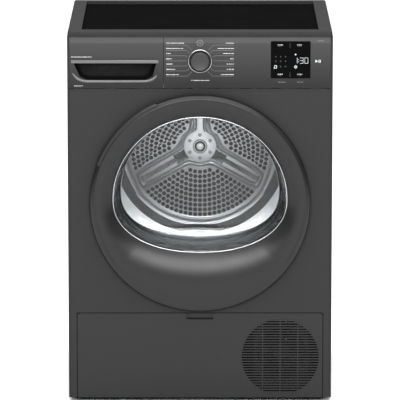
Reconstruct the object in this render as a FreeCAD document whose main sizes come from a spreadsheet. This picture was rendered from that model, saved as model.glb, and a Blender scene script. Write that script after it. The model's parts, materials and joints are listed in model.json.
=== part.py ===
import FreeCAD, Part
import Sketcher
import math
import os
from FreeCAD import Placement, Rotation, Vector

# Free-standing heat pump clothes dryer, in millimetres.
# +Z is up, the front faces -Y, and the origin is on the floor under the middle of the machine.

DRIVING = {
    # cabinet
    "cabinet_width": 597, "total_height": 850, "total_depth": 568, "door_bulge": 30, "rear_bulge": 8,
    "foot_gap": 9, "sheet_metal": 1, "edge_nose": 5, "worktop_thick": 12, "board_recess": 7,
    "board_width": 534, "board_length": 474, "board_setback": 34, "kick_top": 205.5, "kick_width": 558,
    "kick_thick": 12, "fascia_bottom": 721,
    # door
    "door_z": 461, "door_radius": 249, "panel_hole_radius": 215, "panel_hole_z": 480, "door_gap": 4,
    "window_half_width": 196, "window_z": 470, "window_rise": 187, "window_drop": 121.5, "bowl_depth": 66,
    "hinge_x": 243, "hinge_offset": 10, "pin_radius": 2.5, "grip_from": 113, "grip_to": 159,
    # drum and drive
    "drum_z": 511, "drum_radius": 281, "drum_wall": 1.2, "drum_front": -206, "drum_back": 214,
    "belt_y": 70, "belt_width": 9, "belt_thick": 2.4, "motor_x": 150, "motor_z": 128, "pulley_radius": 6,
    "idler_radius": 14, "roller_radius": 24, "roller_angle": 32, "shaft_radius": 10,
    # controls and tank
    "knob_z": 783, "knob_radius": 21, "knob_ring_radius": 26.5, "display_left": 159, "display_right": 248,
    "display_low": 744, "display_high": 828, "split_x": -82, "tank_length": 392,
    # heat pump
    "tray_height": 38, "duct_top": 200, "running_gap": 0.05, "body_gap": 0.5,
}


class Size:
    """A length that knows its value and the sheet formula it comes from."""

    def __init__(self, value, text):
        self.value = float(value)
        self.text = text

    def __add__(self, other):
        other = size(other)
        return Size(self.value + other.value, f"({self.text} + {other.text})")

    def __sub__(self, other):
        other = size(other)
        return Size(self.value - other.value, f"({self.text} - {other.text})")

    def __mul__(self, other):
        other = size(other)
        return Size(self.value * other.value, f"({self.text} * {other.text})")

    def __truediv__(self, other):
        other = size(other)
        return Size(self.value / other.value, f"({self.text} / {other.text})")

    def __neg__(self):
        return Size(-self.value, f"(0 - {self.text})")

    def __radd__(self, other):
        return size(other) + self

    def __rsub__(self, other):
        return size(other) - self

    def __rmul__(self, other):
        return size(other) * self


def size(number):
    if isinstance(number, Size):
        return number
    return Size(number, f"({float(number)!r})")


doc = FreeCAD.newDocument("dryer")
sheet = doc.addObject("Spreadsheet::Sheet", "dims")
for row, (alias, value) in enumerate(DRIVING.items(), start=1):
    sheet.set(f"A{row}", alias)
    sheet.set(f"B{row}", str(value))
    sheet.setAlias(f"B{row}", alias)
doc.recompute()


class Dimensions:
    """Gives each driving cell of the sheet as a Size."""

    def __getattr__(self, alias):
        return Size(sheet.get(alias), f"dims.{alias}")


d = Dimensions()
nodes = []

# Places that several pieces share.
half = d.cabinet_width / 2
front = d.door_bulge - d.total_depth / 2
rear = d.total_depth / 2 - d.rear_bulge
door_front = -(d.total_depth / 2)
door_back = front - d.door_gap
worktop_low = d.total_height - d.worktop_thick
metal = d.sheet_metal
hinge_y = front - d.hinge_offset
tray_top = d.foot_gap + 3 + d.tray_height


def bind(thing, **formulas):
    for prop, formula in formulas.items():
        thing.setExpression(prop, size(formula).text)


def move(thing, x, y, z, rotation=None):
    """Puts a piece's own origin at x, y, z, bound to the sheet."""
    x, y, z = size(x), size(y), size(z)
    thing.Placement = Placement(Vector(x.value, y.value, z.value), rotation or Rotation())
    for axis, formula in (("x", x), ("y", y), ("z", z)):
        thing.setExpression(f"Placement.Base.{axis}", formula.text)
    return thing


ALONG = {
    "x": Rotation(Vector(0, 1, 0), 90),
    "y": Rotation(Vector(1, 0, 0), -90),
    "z": Rotation(),
}


def block(x0, x1, y0, y1, z0, z1):
    thing = doc.addObject("Part::Box", "block")
    bind(thing, Length=size(x1) - x0, Width=size(y1) - y0, Height=size(z1) - z0)
    return move(thing, x0, y0, z0)


def rod(axis, x, y, z, radius, length):
    thing = doc.addObject("Part::Cylinder", "rod")
    bind(thing, Radius=radius, Height=length)
    return move(thing, x, y, z, ALONG[axis])


def cone(axis, x, y, z, radius_1, radius_2, length):
    thing = doc.addObject("Part::Cone", "cone")
    bind(thing, Radius1=radius_1, Radius2=radius_2, Height=length)
    return move(thing, x, y, z, ALONG[axis])


def fuse(*things):
    thing = doc.addObject("Part::MultiFuse", "fuse")
    thing.Shapes = list(things)
    return thing


def cut(base, *tools):
    thing = doc.addObject("Part::Cut", "cut")
    thing.Base = base
    thing.Tool = tools[0] if len(tools) == 1 else fuse(*tools)
    return thing


def common(*things):
    thing = doc.addObject("Part::MultiCommon", "common")
    thing.Shapes = list(things)
    return thing


def ring(axis, x, y, z, outer, inner, length):
    return cut(rod(axis, x, y, z, outer, length), rod(axis, x, y, z, inner, length))


def group(*things):
    """Several separate solids that make one node, such as a set of equal screws."""
    thing = doc.addObject("Part::Compound", "group")
    thing.Links = list(things)
    return thing


def node(label, thing):
    thing.Label = label
    nodes.append(thing)
    return thing


def shaped(label, shape):
    """A piece whose outline no sketch or primitive gives: its shape is set here."""
    thing = doc.addObject("Part::Feature", label)
    thing.Shape = shape
    return node(label, thing)


def new_body(label):
    return node(label, doc.addObject("PartDesign::Body", label))


def plane(body, role):
    return next(item for item in body.Origin.OriginFeatures if item.Role == role)


def new_sketch(body, role, level=0):
    """A sketch on one of the body's own origin planes, lifted off it by level."""
    sketch = body.newObject("Sketcher::SketchObject", "sketch")
    sketch.AttachmentSupport = [(plane(body, role), "")]
    sketch.MapMode = "FlatFace"
    sketch.setExpression("AttachmentOffset.Base.z", size(level).text)
    return sketch


def pin_down(sketch, edge, vertex, u, v):
    """Holds one sketch point at u, v from the sketch's origin."""
    for kind, formula in (("DistanceX", size(u)), ("DistanceY", size(v))):
        at = sketch.addConstraint(Sketcher.Constraint(kind, -1, 1, edge, vertex, formula.value))
        sketch.setExpression(f"Constraints[{at}]", formula.text)


def draw_polygon(sketch, points):
    points = [(size(u), size(v)) for u, v in points]
    first = sketch.GeometryCount
    count = len(points)
    for index, (u, v) in enumerate(points):
        end_u, end_v = points[(index + 1) % count]
        start, end = Vector(u.value, v.value, 0), Vector(end_u.value, end_v.value, 0)
        sketch.addGeometry(Part.LineSegment(start, end), False)
    for index in range(count):
        after = first + (index + 1) % count
        sketch.addConstraint(Sketcher.Constraint("Coincident", first + index, 2, after, 1))
        pin_down(sketch, first + index, 1, *points[index])


def draw_circle(sketch, u, v, radius):
    u, v, radius = size(u), size(v), size(radius)
    edge = sketch.addGeometry(Part.Circle(Vector(u.value, v.value, 0), Vector(0, 0, 1), radius.value), False)
    at = sketch.addConstraint(Sketcher.Constraint("Radius", edge, radius.value))
    sketch.setExpression(f"Constraints[{at}]", radius.text)
    pin_down(sketch, edge, 3, u, v)


def rectangle(u0, u1, v0, v1):
    return [(u0, v0), (u1, v0), (u1, v1), (u0, v1)]


def pad(body, sketch, length, reverse=False):
    thing = body.newObject("PartDesign::Pad", "pad")
    thing.Profile = sketch
    thing.Reversed = reverse
    bind(thing, Length=length)
    body.Tip = thing
    return thing


def pocket_through(body, sketch):
    thing = body.newObject("PartDesign::Pocket", "pocket")
    thing.Profile = sketch
    thing.Type = 1
    thing.Midplane = True
    body.Tip = thing
    return thing


def fillet_edges(body, radius, wanted):
    """Rounds the edges of the body's last feature that wanted(edge) picks."""
    doc.recompute()
    base = body.Tip
    names = [f"Edge{n}" for n, edge in enumerate(base.Shape.Edges, start=1) if wanted(edge)]
    thing = body.newObject("PartDesign::Fillet", "fillet")
    thing.Base = (base, names)
    bind(thing, Radius=radius)
    body.Tip = thing
    return thing


# --- window outline: upper half ellipse over a flatter lower half ellipse -------------------

def window_wire(y, grow=0.0, shrink=1.0, lift=0.0):
    """The window's outline at depth y, grown all round by grow and scaled by shrink."""
    half_width = (d.window_half_width.value + grow) * shrink
    rise = (d.window_rise.value + grow) * shrink
    drop = (d.window_drop.value + grow) * shrink
    centre = Vector(0, y, d.window_z.value + lift)
    left = centre - Vector(half_width, 0, 0)
    right = centre + Vector(half_width, 0, 0)

    def half_oval(tall, sign):
        if tall > half_width:
            oval = Part.Ellipse(centre + Vector(0, 0, sign * tall), centre + Vector(half_width, 0, 0), centre)
        else:
            oval = Part.Ellipse(centre + Vector(half_width, 0, 0), centre + Vector(0, 0, tall), centre)
        start, end = oval.parameter(left), oval.parameter(right)
        edge = Part.Edge(oval, min(start, end), max(start, end))
        middle = edge.valueAt((edge.FirstParameter + edge.LastParameter) / 2)
        if (middle.z - centre.z) * sign < 0:
            edge = Part.Edge(oval, max(start, end), min(start, end) + 2 * math.pi)
        return edge

    return Part.Wire(Part.__sortEdges__([half_oval(rise, 1), half_oval(drop, -1)]))


def window_solid(y0, y1, grow0, grow1=None):
    grow1 = grow0 if grow1 is None else grow1
    return Part.makeLoft([window_wire(y0, grow0), window_wire(y1, grow1)], True, True)


def window_ring(y0, y1, outer, inner):
    return window_solid(y0, y1, outer).cut(window_solid(y0 - 1, y1 + 1, inner))


# --- places that several pieces share, in millimetres -----------------------------------------

LAMP_X, LAMP_Z = 120, 676
GRILLE_X, GRILLE_Z, GRILLE_RADIUS, GRILLE_HALF_HEIGHT = 182.3, 103.5, 91, 86.5
SPIDER_ARMS = (90, 210, 330)
OUTLET_X, DRAIN_Z, CORD_Z = 262, 760, 714
HINGE_ARMS = (-18, 18)
HINGE_ROOM = 28
KICK_PIN_RADIUS = 2
KICK_LUG_RADIUS = 3.8
KICK_LUG_X = 263
KICK_LUG_WIDTH = 5


# --- cabinet -------------------------------------------------------------------------------

def side_panel(label, side):
    """Folded sheet with a rounded nose at the front and a hem at the back."""
    body = new_body(label)
    nose = d.edge_nose
    profile = [
        (half, rear), (half, front), (half - nose, front), (half - nose, front + nose),
        (half - nose * 3.4, front + nose), (half - nose * 3.4, front + nose + metal),
        (half - metal, front + nose + metal), (half - metal, rear - metal),
        (half - 16, rear - metal), (half - 16, rear),
    ]
    sketch = new_sketch(body, "XY_Plane", d.foot_gap)
    draw_polygon(sketch, [(x if side > 0 else -x, y) for x, y in profile])
    pad(body, sketch, worktop_low - d.foot_gap)

    def outer_nose(edge):
        x, y = edge.CenterOfMass.x, edge.CenterOfMass.y
        return abs(abs(x) - half.value) < 0.01 and abs(y - front.value) < 0.01

    fillet_edges(body, nose - 0.4, outer_nose)
    # The inner hem stops below the fascia, which fills the whole width between the noses.
    hem = new_sketch(body, "XY_Plane", worktop_low)
    corner_x, corner_y = half - nose - 0.1, front + nose
    draw_polygon(hem, [(side * x, y) for x, y in rectangle(half - nose * 3.4 - 1, corner_x, corner_y - 0.1,
                                                           corner_y + metal + 0.1)])
    notch = body.newObject("PartDesign::Pocket", "hem_notch")
    notch.Profile = hem
    bind(notch, Length=worktop_low - d.fascia_bottom + 5)
    body.Tip = notch


def front_panel():
    """Sheet front with the door opening, the kick plate opening and a small ledge on top."""
    side = half - d.edge_nose - 0.4
    top = d.fascia_bottom - 1
    kick_side = d.kick_width / 2 + 1
    outline = [
        (-side, d.foot_gap), (-kick_side, d.foot_gap), (-kick_side, d.kick_top + 1),
        (kick_side, d.kick_top + 1),
        (kick_side, d.foot_gap), (side, d.foot_gap), (side, top), (-side, top),
    ]
    body = new_body("front_panel")
    sketch = new_sketch(body, "XZ_Plane", -front - metal)
    draw_polygon(sketch, outline)
    draw_circle(sketch, 0, d.panel_hole_z, d.panel_hole_radius)
    draw_polygon(sketch, rectangle(-d.door_radius + 12, -d.door_radius + 22, d.door_z - 16, d.door_z + 16))
    pad(body, sketch, metal)
    ledge = new_sketch(body, "YZ_Plane", -side)
    shelf = [(front - 1.4, top - 2), (front + 4.6, top - 2), (front + 4.6, top), (front - 1.4, top)]
    draw_polygon(ledge, shelf)
    pad(body, ledge, side * 2)


def rear_panel():
    """Sheet back with air holes, side vents and round outlets for the drain and the cord."""
    inner = half - 1.5
    panel = block(-inner, inner, rear - 2.6, rear - 1.4, d.foot_gap + 4, worktop_low - 4)
    bearing_hole = rod("y", 0, rear - 6, d.drum_z, 26, 12)
    duct_hole = ring("y", 0, rear - 6, d.drum_z, 215, 120, 12)
    vents = [block(150, 250, rear - 6, rear + 2, 60 + 14 * n, 66 + 14 * n) for n in range(7)]
    spokes = fuse(*[block(-18, 18, rear - 9, rear + 9, d.drum_z - 220, d.drum_z + 220),
                    block(-220, 220, rear - 9, rear + 9, d.drum_z - 18, d.drum_z + 18)])
    outlets = [rod("y", OUTLET_X, rear - 6, DRAIN_Z, 6.2, 12),
               block(OUTLET_X - 36, inner + 1, rear - 6, rear + 2, CORD_Z - 26, CORD_Z + 26)]
    return node("rear_panel", cut(panel, cut(duct_hole, spokes), bearing_hole, *vents, *outlets))


def rear_duct_cover():
    """Shallow round cover over the hot air channel behind the drum."""
    outer = cone("y", 0, rear - 1.2, d.drum_z, 240, 226, d.rear_bulge + 1.2)
    inner = cone("y", 0, rear - 2.2, d.drum_z, 238, 224, d.rear_bulge + 1.2)
    return node("rear_duct_cover", cut(outer, inner))


def cross_rails():
    """Folded rails that tie the two sides together under the worktop and under the fascia."""
    reach = half - 2
    low = worktop_low - 16
    rail = cut(block(-reach, reach, rear - 40, rear - 8, low, worktop_low - 4.5),
               block(-reach - 1, reach + 1, rear - 38.5, rear - 9.5, low - 1, worktop_low - 6))
    beam = cut(block(-reach, reach, front + 14, front + 34, d.fascia_bottom - 4, d.fascia_bottom + 8),
               block(-reach - 1, reach + 1, front + 15.5, front + 36,
                     d.fascia_bottom - 5, d.fascia_bottom + 6.5))
    node("cross_rails", group(rail, beam))


def worktop():
    """Moulded frame around a dark board that lies in a shallow recess."""
    outer = half - 1
    body = new_body("worktop_frame")
    sketch = new_sketch(body, "XY_Plane", worktop_low)
    draw_polygon(sketch, rectangle(-outer, outer, front + 2.5, rear + 0.5))
    board_front, board_rear = front + d.board_setback, front + d.board_setback + d.board_length
    draw_polygon(sketch, rectangle(-(d.board_width / 2) + 10, d.board_width / 2 - 10,
                                   board_front + 10, board_rear - 10))
    pad(body, sketch, d.worktop_thick)
    recess = new_sketch(body, "XY_Plane", d.total_height)
    draw_polygon(recess, rectangle(-(d.board_width / 2), d.board_width / 2,
                                   front + d.board_setback, front + d.board_setback + d.board_length))
    thing = body.newObject("PartDesign::Pocket", "recess")
    thing.Profile = recess
    bind(thing, Length=d.board_recess + 2.5)
    body.Tip = thing

    def rim(edge):
        centre, box = edge.CenterOfMass, edge.BoundBox
        on_top = abs(centre.z - d.total_height.value) < 0.01
        upright = box.ZLength > d.worktop_thick.value - 0.1
        outside = abs(abs(centre.x) - outer.value) < 0.01 or abs(centre.y - front.value - 2.5) < 0.01
        return outside and (on_top or upright)

    fillet_edges(body, 5, rim)
    board_edge = d.board_width / 2 - 0.4
    top = d.total_height - d.board_recess
    node("worktop_board", block(-board_edge, board_edge, front + d.board_setback + 0.4,
                                front + d.board_setback + d.board_length - 0.4, top - 2.4, top))


def base_tray():
    """Moulded floor of the machine, open on top, that carries the heat pump."""
    reach = half - 3.5
    low = d.foot_gap + 3
    shell = cut(block(-reach, reach, front + 20, rear - 6, low, tray_top),
                block(-reach + 3, reach - 3, front + 23, rear - 9, low + 3, tray_top + 1))
    wall = block(24, 28, front + 23, rear - 9, low + 3, tray_top)
    stands = [rod("z", x, y, low + 3, 9, 14) for x, y in ((80, -150), (200, -150), (80, -50), (200, -50))]
    bosses = [rod("z", x, y, low, 12, 20) for _, x, y in foot_places()]
    stud_holes = [rod("z", x, y, low - 1, 5 + d.running_gap, 22) for _, x, y in foot_places()]
    sump = cut(block(-80, 0, rear - 90, rear - 20, low + 3, low + 24),
               block(-77, -3, rear - 87, rear - 23, low + 5, low + 26))
    return node("base_tray", cut(fuse(shell, wall, sump, *stands, *bosses, *kick_brackets()), *stud_holes))


def foot_places():
    return [("foot_front_left", -262, front + 40), ("foot_front_right", 262, front + 40),
            ("foot_rear_left", -262, rear - 40), ("foot_rear_right", 262, rear - 40)]


def feet():
    """Four screw feet: a moulded pad on a stud that runs in the tray."""
    for label, x, y in foot_places():
        pad_low = cone("z", x, y, 0, 19, 20, 3)
        pad_high = cone("z", x, y, 3, 20, 14, 5)
        node(label, fuse(pad_low, pad_high, rod("z", x, y, 8, 5, 20)))


# --- door ----------------------------------------------------------------------------------


def turned(profile, centre_z):
    """A solid of revolution about the axis along Y at height centre_z, from (radius, y) points."""
    points = [Vector(size(r).value, size(y).value, size(centre_z).value) for r, y in profile]
    face = Part.Face(Part.makePolygon(points + points[:1]))
    return face.revolve(Vector(0, 0, size(centre_z).value), Vector(0, 1, 0), 360)


def door_outer_ring():
    """Round outer shell: rounded rim, then a face dished back to the window."""
    radius, y0, back = d.door_radius.value, door_front.value, door_back.value
    rim = [(radius, back - 6), (radius, y0 + 9), (radius - 2.6, y0 + 3.4), (radius - 9, y0),
           (radius - 22, y0 + 1)]
    dish = [(214, y0 + 5), (190, y0 + 11), (160, y0 + 16), (120, y0 + 18)]
    inner = [(120, y0 + 21), (160, y0 + 19), (190, y0 + 14), (214, y0 + 8), (radius - 22, y0 + 4.2),
             (radius - 8, y0 + 4), (radius - 4, y0 + 9), (radius - 3.5, back - 6), (radius - 3.5, back)]
    shell = turned(rim + dish + inner + [(radius - 1.5, back)], d.door_z)
    shell = shell.cut(window_solid(y0 - 1, back + 5, 2))
    shell = shell.cut(grip_sector(radius - 6, radius + 6, door_front.value + 11, back + 1))
    leaf_room = Vector(d.hinge_x.value - 9, y0 + 14, d.door_z.value - HINGE_ROOM)
    shell = shell.cut(Part.makeBox(20, 16, 2 * HINGE_ROOM, leaf_room))
    return shaped("door_outer_ring", shell.fuse(door_grip()).removeSplitter())


def grip_sector(inner, outer, y0, y1, trim=0.0):
    """A band of the door's rim between the two ends of the finger grip."""
    start, end = d.grip_from.value + trim, d.grip_to.value - trim
    z = d.door_z.value
    points = [Vector(inner, y0, z), Vector(outer, y0, z), Vector(outer, y1, z), Vector(inner, y1, z)]
    face = Part.Face(Part.makePolygon(points + points[:1]))
    face.rotate(Vector(0, 0, z), Vector(0, 1, 0), -start)
    return face.revolve(Vector(0, 0, z), Vector(0, 1, 0), -(end - start))


def door_grip():
    """Lip on the upper left of the rim, with room for fingers behind it."""
    radius, y0 = d.door_radius.value, door_front.value
    return grip_sector(radius - 7, radius + 3, y0 + 2.4, y0 + 10.8, 1.5)


def door_inner_frame():
    """Back cover of the door: carries the glass, the hinge leaf and the latch hook."""
    back = door_back.value
    radius = d.door_radius.value
    plate = turned([(120, back - 3), (radius - 5, back - 3), (radius - 5, back), (120, back)], d.door_z)
    plate = plate.cut(window_solid(back - 4, back + 1, 8))
    plate = plate.fuse(window_ring(back - 4.8, back - 2.5, 10.5, 8))
    plate = plate.cut(grip_sector(radius - 14, radius + 6, back - 5, back + 2))
    corner = Vector(d.hinge_x.value - 9, back - 4, d.door_z.value - HINGE_ROOM)
    leaf_room = Part.makeBox(30, 5, 2 * HINGE_ROOM, corner)
    return shaped("door_inner_frame", plate.cut(leaf_room).removeSplitter())


def door_window_trim():
    """Bright rim round the window, between the outer shell and the glass."""
    y0 = door_front.value + 17
    return shaped("door_window_trim", window_ring(y0 + 1, y0 + 4.6, 1.6, -2.4))


def door_glass():
    """Pressed glass bowl that reaches into the drum's mouth."""
    back = door_back.value
    y0 = back - 4.2
    depth = d.bowl_depth.value
    flange = window_ring(y0, y0 + 4, 7.6, -10)
    outer = Part.makeLoft([window_wire(y0 + 0.5, -4), window_wire(y0 + depth * 0.6, -16),
                           window_wire(y0 + depth, -44)], True, False)
    inner = Part.makeLoft([window_wire(y0 - 3.5, -8), window_wire(y0 + depth * 0.6 - 4, -20),
                           window_wire(y0 + depth - 4, -48)], True, False)
    bowl = outer.fuse(flange).cut(inner)
    return shaped("door_glass", bowl.removeSplitter())


def hinge():
    """Fixed bracket and pin on the front panel; gives back the leaf that the door carries."""
    x, y, z = d.hinge_x, hinge_y, d.door_z
    knuckle, arm_half, leaf_half = 4.4, 6, 11.5
    top = HINGE_ARMS[1] + arm_half
    base = block(x - 20, x + 4, front - 2, front, z - top, z + top)
    arms = []
    for arm in HINGE_ARMS:
        arms.append(block(x - 3, x + 3, y, front - 1, z + arm - arm_half, z + arm + arm_half))
        arms.append(rod("z", x, y, z + arm - arm_half, knuckle, 2 * arm_half))
    bore = rod("z", x, y, z - HINGE_ROOM, d.pin_radius, 2 * HINGE_ROOM)
    pin = fuse(rod("z", x, y, z - top - 1, d.pin_radius, 2 * top + 2), rod("z", x, y, z + top + 0.2, 4, 1.8))
    node("hinge_bracket", group(cut(fuse(base, *arms), bore), pin))
    barrel = rod("z", x, y, z - leaf_half, knuckle, 2 * leaf_half)
    tab = block(x - 8, x - 2, y + 1, y + 2.8, z - leaf_half, z + leaf_half)
    wing = block(x - 34, x - 7, y + 1, y + 2.8, z - top, z + top)
    leaf_bore = rod("z", x, y, z - HINGE_ROOM, d.pin_radius + d.running_gap, 2 * HINGE_ROOM)
    return cut(fuse(barrel, tab, wing), leaf_bore)


def latch():
    """Hook on the door, in one node with the hinge leaf, and the catch behind the front panel."""
    x, z = 17 - d.door_radius, d.door_z
    stem = block(x - 3, x + 3, door_back + 0.1, front + 12, z - 8, z + 8)
    nose = block(x - 3, x + 6, front + 7, front + 12, z - 8, z + 8)
    node("door_hinge_leaf_and_hook", group(hinge(), fuse(stem, nose)))
    box = block(x - 12, x + 16, front + metal + 1, front + 26, z - 24, z + 24)
    room = block(x - 6, x + 10, front, front + 20, z - 11, z + 11)
    node("door_catch", cut(box, room))


# --- drum mouth ----------------------------------------------------------------------------


def front_bulkhead():
    """Moulded ring behind the front panel: closes the drum's mouth round the loading opening."""
    y0 = front.value + metal.value + 0.5
    y1 = d.drum_front.value - 4
    plate = turned([(110, y1 - 3), (250, y1 - 3), (250, y1), (110, y1)], d.drum_z)
    plate = plate.fuse(Part.makeBox(540, 3, 190, Vector(-270, y1 - 3, d.foot_gap.value + 205)))
    plate = plate.cut(window_solid(y0 - 1, y1 + 1, 14))
    neck = window_ring(y0, y1, 17, 14)
    skirt = turned([(237, y1 - 1), (240, y1 - 1), (240, y1 + 18), (237, y1 + 18)], d.drum_z)
    slot_low = d.window_z.value - d.window_drop.value - 25
    filter_slot = Part.makeBox(212, 40, 14, Vector(-106, y1 - 38, slot_low))
    lamp_hole = Part.makeCylinder(15, 60, Vector(LAMP_X, y1 - 30, LAMP_Z), Vector(0, 1, 0))
    solid = plate.fuse([neck, skirt]).cut([filter_slot, lamp_hole])
    return shaped("front_bulkhead", solid.removeSplitter())


def lint_filter():
    """Lift-out lint screen that stands in the slot at the bottom of the loading opening."""
    y1 = d.drum_front.value - 4
    top = d.window_z.value - d.window_drop.value - 12
    frame = Part.makeBox(208, 22, 112, Vector(-104, y1 - 34, top - 114))
    frame = frame.cut(Part.makeBox(200, 14, 100, Vector(-100, y1 - 30, top - 109)))
    for index in range(4):
        window = Part.makeBox(44, 40, 92, Vector(-98 + 50 * index, y1 - 40, top - 105))
        frame = frame.cut(window)
    lid = Part.makeBox(206, 26, 3, Vector(-103, y1 - 36, top - 6))
    return shaped("lint_filter", frame.fuse(lid).removeSplitter())


def drum_lamp():
    y1 = d.drum_front - 4
    lens = fuse(rod("y", LAMP_X, y1 - 3.2, LAMP_Z, 14.6, 4.7), rod("y", LAMP_X, y1 - 8, LAMP_Z, 18, 4.9))
    return node("drum_lamp", lens)


# --- drum ----------------------------------------------------------------------------------

def drum_shell():
    """Rolled drum: front lip turned in, shallow ribs, closed at the back by its own plate."""
    r = d.drum_radius.value
    w = d.drum_wall.value
    y0, y1 = d.drum_front.value, d.drum_back.value
    belt = d.belt_y.value
    outer = [(243, y0 + 6), (243, y0), (252, y0), (262, y0 + 9), (r - 3, y0 + 30), (r, y0 + 42),
             (r, belt - 60), (r - 3, belt - 52), (r - 3, belt - 32), (r, belt - 24), (r, y1 - 4)]
    inner = [(radius - w, y) for radius, y in reversed(outer[2:])]
    profile = outer + inner[:-1] + [(252, y0 + w + 0.4), (243 + w, y0 + w), (243 + w, y0 + 6)]
    return shaped("drum_shell", turned(profile, d.drum_z))


def hole_rings(first, last, pitch):
    """Centres of evenly spaced holes on rings: each (ring radius, angle in degrees)."""
    places = []
    count = int((last - first) / pitch) + 1
    for index in range(count):
        radius = first + index * pitch
        number = int(2 * math.pi * radius / pitch)
        for step in range(number):
            places.append((radius, 360 * (step + 0.5 * (index % 2)) / number))
    return places


def beside_arm(radius, angle, clear):
    """True where a place on the plate lies clear of the three stamped arms."""
    for arm in SPIDER_ARMS:
        off = math.radians((angle - arm + 180) % 360 - 180)
        if math.cos(off) > 0 and abs(radius * math.sin(off)) < clear:
            return False
    return True


def drum_back_plate():
    """Pressed back wall of the drum with rings of air holes between three stamped arms."""
    y1 = d.drum_back.value
    z = d.drum_z.value
    r = d.drum_radius.value - d.drum_wall.value - 0.02
    profile = [(0, y1 - 8), (58, y1 - 8), (66, y1 - 4), (196, y1 - 4), (204, y1 - 12), (r - 6, y1 - 12),
               (r, y1 - 9), (r, y1 - 7.8), (r - 6.4, y1 - 10.8), (204.6, y1 - 10.8), (196.6, y1 - 2.8), (65.4, y1 - 2.8),
               (57.4, y1 - 6.8), (0, y1 - 6.8)]
    plate = turned(profile, z)
    holes = []
    for radius, angle in hole_rings(78, 188, 22):
        if beside_arm(radius, angle, 24):
            turn = math.radians(angle)
            at = Vector(radius * math.cos(turn), y1 - 6, z + radius * math.sin(turn))
            holes.append(Part.makeCylinder(4.2, 6, at, Vector(0, 1, 0)))
    return shaped("drum_back_plate", plate.cut(Part.makeCompound(holes)))


def drum_spider():
    """Three-armed stiffener riveted behind the back plate, with the shaft boss in the middle."""
    y1 = d.drum_back.value
    z = d.drum_z.value
    hub = Part.makeCylinder(52, 5, Vector(0, y1 - 2.6, z), Vector(0, 1, 0))
    solid = hub
    for arm in SPIDER_ARMS:
        bar = Part.makeBox(185, 4, 30, Vector(0, y1 - 2.6, z - 15))
        bar.rotate(Vector(0, y1, z), Vector(0, 1, 0), -arm)
        solid = solid.fuse(bar)
    flange = Part.makeCylinder(40, 5, Vector(0, y1 + 2.2, z), Vector(0, 1, 0))
    shaft = Part.makeCylinder(d.shaft_radius.value, 50, Vector(0, y1 + 7, z), Vector(0, 1, 0))
    return shaped("drum_spider_shaft", solid.fuse([flange, shaft]).removeSplitter())


def drum_hub():
    """Boss, centre bolt and ring of rivets on the inside of the back plate."""
    y1 = d.drum_back
    z = d.drum_z
    boss = fuse(rod("y", 0, y1 - 11.5, z, 17, 3.4), cone("y", 0, y1 - 13.5, z, 14, 17, 2))
    bolt = fuse(rod("y", 0, y1 - 15.1, z, 11, 1.5), rod("y", 0, y1 - 19, z, 7.5, 4))
    rivets = []
    for index in range(6):
        angle = math.radians(90 + 60 * index)
        rivets.append(rod("y", 28 * math.cos(angle), y1 - 11, z + 28 * math.sin(angle), 4, 2.9))
    return node("drum_hub_fasteners", group(boss, bolt, *rivets))


def lifter_shape():
    """One hollow paddle that lies along the drum wall: wide foot, rounded narrow crest."""
    y0, y1 = d.drum_front.value + 46, d.drum_back.value - 22
    base = d.drum_z.value - d.drum_radius.value + d.drum_wall.value + 3.8

    def section(y, half_foot, tall, sag):
        half_crest = half_foot * 0.3
        foot_left, foot_right = Vector(-half_foot, y, base + sag), Vector(half_foot, y, base + sag)
        crest_left = Vector(-half_crest, y, base + tall - half_crest)
        crest_right = Vector(half_crest, y, base + tall - half_crest)
        top = Part.Arc(crest_left, Vector(0, y, base + tall), crest_right).toShape()
        edges = [Part.makeLine(foot_right, foot_left), Part.makeLine(foot_left, crest_left), top,
                 Part.makeLine(crest_right, foot_right)]
        return Part.Wire(edges)

    sections = [section(y0, 20, 20, 2.2), section(y0 + 60, 32, 44, 2.8), section(y1 - 40, 34, 47, 2.8),
                section(y1, 28, 38, 2.4)]
    return Part.makeLoft(sections, True, True)


def drum_lifters():
    """Three equal paddles, a third of a turn apart."""
    paddles = []
    for angle in (60, 180, 300):
        paddle = lifter_shape()
        paddle.rotate(Vector(0, 0, d.drum_z.value), Vector(0, 1, 0), angle)
        paddles.append(paddle)
    return shaped("drum_lifters", Part.makeCompound(paddles))


# --- drum carriage and drive ---------------------------------------------------------------

def rear_bearing():
    """Bearing in a cast housing on the rear panel, which carries the drum's shaft."""
    y = rear - 14
    z = d.drum_z
    outer = fuse(rod("y", 0, y, z, 34, 11), block(-60, 60, y + 8, y + 11, z - 16, z + 16))
    housing = cut(outer, rod("y", 0, y - 1, z, 22.02, 20))
    race = ring("y", 0, y, z, 22, d.shaft_radius + d.running_gap, 11)
    return node("rear_bearing", group(housing, race))


def roller_place(side):
    angle = math.radians(d.roller_angle.value)
    reach = d.drum_radius + d.roller_radius + d.body_gap
    return side * math.sin(angle) * reach, d.drum_z - math.cos(angle) * reach


def support_rollers():
    """Two rubber-tyred rollers under the front of the drum, each on its own axle."""
    y = d.drum_front + 48
    axles = []
    for label, side in (("left", -1), ("right", 1)):
        x, z = roller_place(side)
        wheel = cut(ring("y", x, y, z, d.roller_radius, 5 + d.running_gap, 22),
                    ring("y", x, y - 1, z, d.roller_radius - 6, 10, 5), ring("y", x, y + 18, z, d.roller_radius - 6, 10, 5))
        node(f"support_roller_{label}", wheel)
        axles.append(fuse(rod("y", x, y - 41, z, 5, 65), rod("y", x, y + 22.6, z, 8, 2.4)))
    node("roller_axles", group(*axles))


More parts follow.
